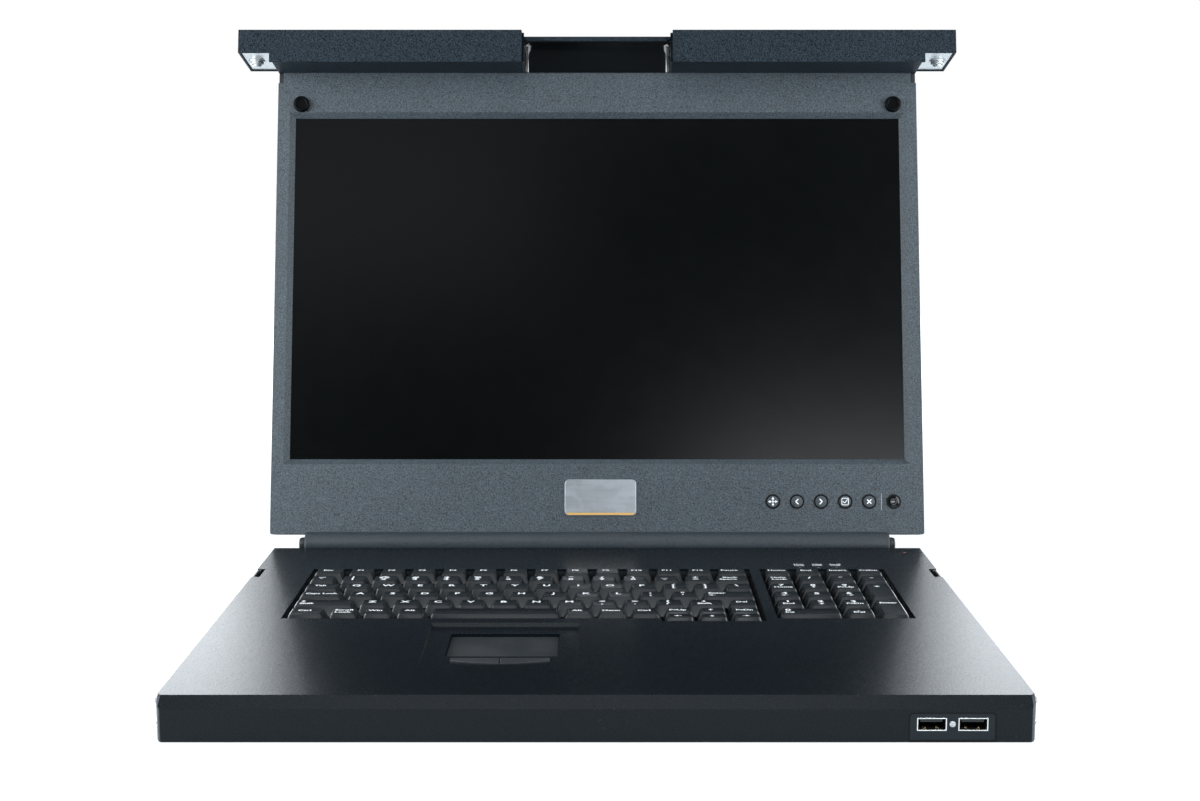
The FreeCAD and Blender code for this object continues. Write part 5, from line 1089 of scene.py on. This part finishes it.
# %% [markdown]
# Each lock lamp has its name printed behind it in two rows. The lamps were sorted from left to
# right, so the names follow the same order.
# %% Lock labels
LOCK_NAMES = ("Num", "Caps", "Scroll")
LABEL_HEIGHT = 0.0020
LABEL_ROW = 1.45        # distance of the rows, in label heights
LABEL_BEHIND = 0.0082
LABEL_WIDEN = 1.1
deck_low, deck_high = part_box("deck_cover")
labels = bmesh.new()
for name, box in zip(LOCK_NAMES, lock_boxes):
    spot = middle(*box)
    for row, words in enumerate((name, "Lock")):
        y = spot.y + LABEL_BEHIND - row * LABEL_HEIGHT * LABEL_ROW
        stamp(labels, text_shape(words, LABEL_HEIGHT), at(spot.x, y, deck_high.z + PRINT_LIFT),
              LABEL_WIDEN)
make_piece("lock_labels", labels, "tray", "white_plastic")
# %% [markdown]
# ## Front sockets
# Each socket is a folded steel shell. Inside it is dark: a near-black lining paints the shade
# inside the shell, a black tongue sits under its roof, and two gilt springs on its floor grip a
# plug.
# %% Socket shade linings and springs
SHELL_WALL = 0.0007
THROAT_FRONT, THROAT_BACK, THROAT_SKIN = 0.0028, 0.0008, 0.0001
SPRING_SIZE, SPRING_CORNER = (0.0016, 0.0034), 0.0004
SPRING_THICK, SPRING_RIM = 0.00025, 0.0001
SPRING_SPREAD, SPRING_BEHIND, SPRING_ABOVE, SPRING_LEAN = 0.0031, 0.0045, 0.0012, 14
TONGUE_ROUNDING = 0.0003
shade_linings = bmesh.new()
springs = bmesh.new()
for points in separate_solids("usb_ports"):
    low, high = limits(points)
    throat = bmesh.new()
    add_box(throat, low + Vector((SHELL_WALL, THROAT_FRONT, SHELL_WALL)),
            high - Vector((SHELL_WALL, THROAT_BACK, SHELL_WALL)))
    front = low.y + THROAT_FRONT + THROAT_SKIN
    mouth = [f for f in throat.faces if f.calc_center_median().y < front]
    bmesh.ops.delete(throat, geom=mouth, context="FACES")
    bmesh.ops.solidify(throat, geom=throat.faces[:], thickness=-THROAT_SKIN)
    bmesh.ops.recalc_face_normals(throat, faces=throat.faces)
    stamp(shade_linings, throat)
    for side in (-1, 1):
        spring = thicken(plate_shape(*SPRING_SIZE, SPRING_CORNER, 3), SPRING_THICK, SPRING_RIM)
        stamp(springs, spring, at(middle(low, high).x + side * SPRING_SPREAD,
                                  low.y + SPRING_BEHIND, low.z + SPRING_ABOVE, SPRING_LEAN))
# Painted shade: the linings are near black, for the shade inside each shell.
make_piece("socket_shade_linings", shade_linings, "tray", "black_plastic", "throat_black")
make_piece("socket_springs", springs, "tray", "nickel", "gilt_contact")
rounded_copy("usb_tongues", TONGUE_ROUNDING)
# %% [markdown]
# A fine dark line round the socket module shows where it meets the tray's front wall. It is a
# band of a plate with two rounded upper corners, stood upright against the wall.
# %% Module outline
FLANGE = 0.0015
OUTLINE_WIDTH, OUTLINE_THICK = 0.0007, 0.00004
OUTLINE_BESIDE, OUTLINE_ABOVE = 0.0006, 0.0003      # how much it is larger than the module
OUTLINE_CORNER = 0.0022
module_low, module_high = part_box("usb_module_face")
width = module_high.x - module_low.x - 2 * FLANGE + OUTLINE_BESIDE
height = module_high.z - FLANGE / 2 - deck_low.z + OUTLINE_ABOVE
outline = plate_shape(width, height)
round_corners(outline, [v for v in outline.verts if v.co.y > 0], OUTLINE_CORNER, 5)
thicken(band_of(outline, OUTLINE_WIDTH), OUTLINE_THICK)
make_piece("module_outline", outline, "tray", "black_plastic", "throat_black",
           at(middle(module_low, module_high).x, deck_low.y, deck_low.z + height / 2, 90))
print("module outline:", round(width * 1000, 1), "by", round(height * 1000, 1))
# %% [markdown]
# ## Cross-head screws
# The lid and the tray are held by small screws with a cross recess. The round top is cut by eight
# planes, which leaves the cross as faces of its own; those are pushed down and drawn in, as a
# punch would. The rim is pulled down and in to a countersunk cone, and on into the shank.
# %% Screws
CROSS_ARM, CROSS_REACH, CROSS_DEPTH, CROSS_TAPER = 0.00042, 0.62, 0.0006, 0.7
HEAD_RIM, HEAD_DEPTH = 0.0002, 0.0010


def screw_shape(radius, shank, length):
    """A screw whose top lies on the origin and whose shank goes down."""
    shape = disc_shape(radius, 24)
    reach = radius * CROSS_REACH
    for axis in (Vector((1, 0, 0)), Vector((0, 1, 0))):
        for offset in (-reach, -CROSS_ARM, CROSS_ARM, reach):
            bmesh.ops.bisect_plane(shape, geom=shape.verts[:] + shape.edges[:] + shape.faces[:],
                                   plane_co=axis * offset, plane_no=axis)
    rim = [e for e in shape.edges if e.is_boundary]
    cross = []
    for face in shape.faces:
        spot = face.calc_center_median()
        near, far = sorted((abs(spot.x), abs(spot.y)))
        if near < CROSS_ARM and far < reach:
            cross.append(face)
    pushed = bmesh.ops.extrude_face_region(shape, geom=cross)
    bmesh.ops.delete(shape, geom=cross, context="FACES")
    corners = made_of(pushed, bmesh.types.BMVert)
    bmesh.ops.scale(shape, vec=(CROSS_TAPER, CROSS_TAPER, 1), verts=corners)
    bmesh.ops.translate(shape, vec=(0, 0, -CROSS_DEPTH), verts=corners)
    for grow, drop in ((1, HEAD_RIM), (shank / radius, HEAD_DEPTH), (1, length - HEAD_DEPTH)):
        made = bmesh.ops.extrude_edge_only(shape, edges=rim)
        rim = made_of(made, bmesh.types.BMEdge)
        corners = made_of(made, bmesh.types.BMVert)
        bmesh.ops.scale(shape, vec=(grow, grow, 1), verts=corners)
        bmesh.ops.translate(shape, vec=(0, 0, -drop), verts=corners)
    bmesh.ops.contextual_create(shape, geom=rim)
    bmesh.ops.recalc_face_normals(shape, faces=shape.faces)
    return shape
# %% [markdown]
# A screw's axis is the longest side of its box, and its head is at the wider end. The node of the
# lid's screws is read in lid coordinates, where the screws stand square.
# %% Placing the screws
def end_radius(points, axis, level):
    """Radius of the round end of a screw at one level of its axis."""
    low, high = limits([p for p in points if abs(p[axis] - level) < SAME_LEVEL])
    across = (axis + 1) % 3
    return (high[across] - low[across]) / 2


def dress_screws(node, place, body):
    """Replace the plain screws of a node by ones with a cross recess."""
    screws = bmesh.new()
    solids = separate_solids(node, place.inverted())
    for points in solids:
        low, high = limits(points)
        size = high - low
        axis = max(range(3), key=lambda i: size[i])
        foot, head = sorted((end_radius(points, axis, level), level)
                            for level in (low[axis], high[axis]))
        way, top = Vector(), middle(low, high)
        way[axis] = 1 if head[1] > foot[1] else -1
        top[axis] = head[1]
        turn = way.to_track_quat("Z", "Y").to_matrix().to_4x4()
        stamp(screws, screw_shape(head[0], foot[0], size[axis]), place @ at(*top) @ turn)
    make_piece(node + "_cross_head", screws, body, "black_steel", node=node)
    print(node, len(solids), "screws")


dress_screws("lid_screws", LID, "lid")
dress_screws("tray_screws", Matrix(), "tray")
# %% [markdown]
# ## Rear video socket
# The video socket holds a blue moulded insert with fifteen small contact holes in three rows. The
# insert narrows downwards, so that the plug fits only one way. The holes are drawn as thin
# near-black discs on the insert, which paint the shade inside them.
# %% Video insert
SHELL_EDGE = 0.0005
INSERT_WIDTH, INSERT_HEIGHT, INSERT_THICK = 0.0141, 0.0056, 0.0002
INSERT_FOOT, INSERT_CORNER = 0.0111, 0.0009
HOLE_RADIUS, HOLE_THICK = 0.00045, 0.00003
HOLE_STEP, HOLE_SHIFT, ROW_STEP = 0.00229, 0.00057, 0.0016
video_low, video_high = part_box("video_socket")
insert = plate_shape(INSERT_WIDTH, INSERT_HEIGHT)
lower = [v for v in insert.verts if v.co.y < 0]
bmesh.ops.scale(insert, vec=(INSERT_FOOT / INSERT_WIDTH, 1, 1), verts=lower)
round_corners(insert, insert.verts[:], INSERT_CORNER, 3)
thicken(insert, INSERT_THICK)
spot = middle(video_low, video_high)
video_place = at(spot.x, video_high.y - SHELL_EDGE, spot.z, 180, "Z") @ at(0, 0, 0, 90)
make_piece("video_insert", insert, "tray", "black_plastic", "video_blue", video_place)
# Painted shade: each hole is a near-black disc on the insert.
hole_shades = bmesh.new()
for row in (-1, 0, 1):
    for column in range(-2, 3):
        x = column * HOLE_STEP + (HOLE_SHIFT if row == 0 else 0)
        hole = thicken(disc_shape(HOLE_RADIUS, 12), HOLE_THICK)
        stamp(hole_shades, hole, video_place @ at(x, row * ROW_STEP, INSERT_THICK))
make_piece("video_hole_shades", hole_shades, "tray", "black_plastic", "throat_black")
print("video socket:", [round(v * 1000, 1) for v in (*video_low, *video_high)])
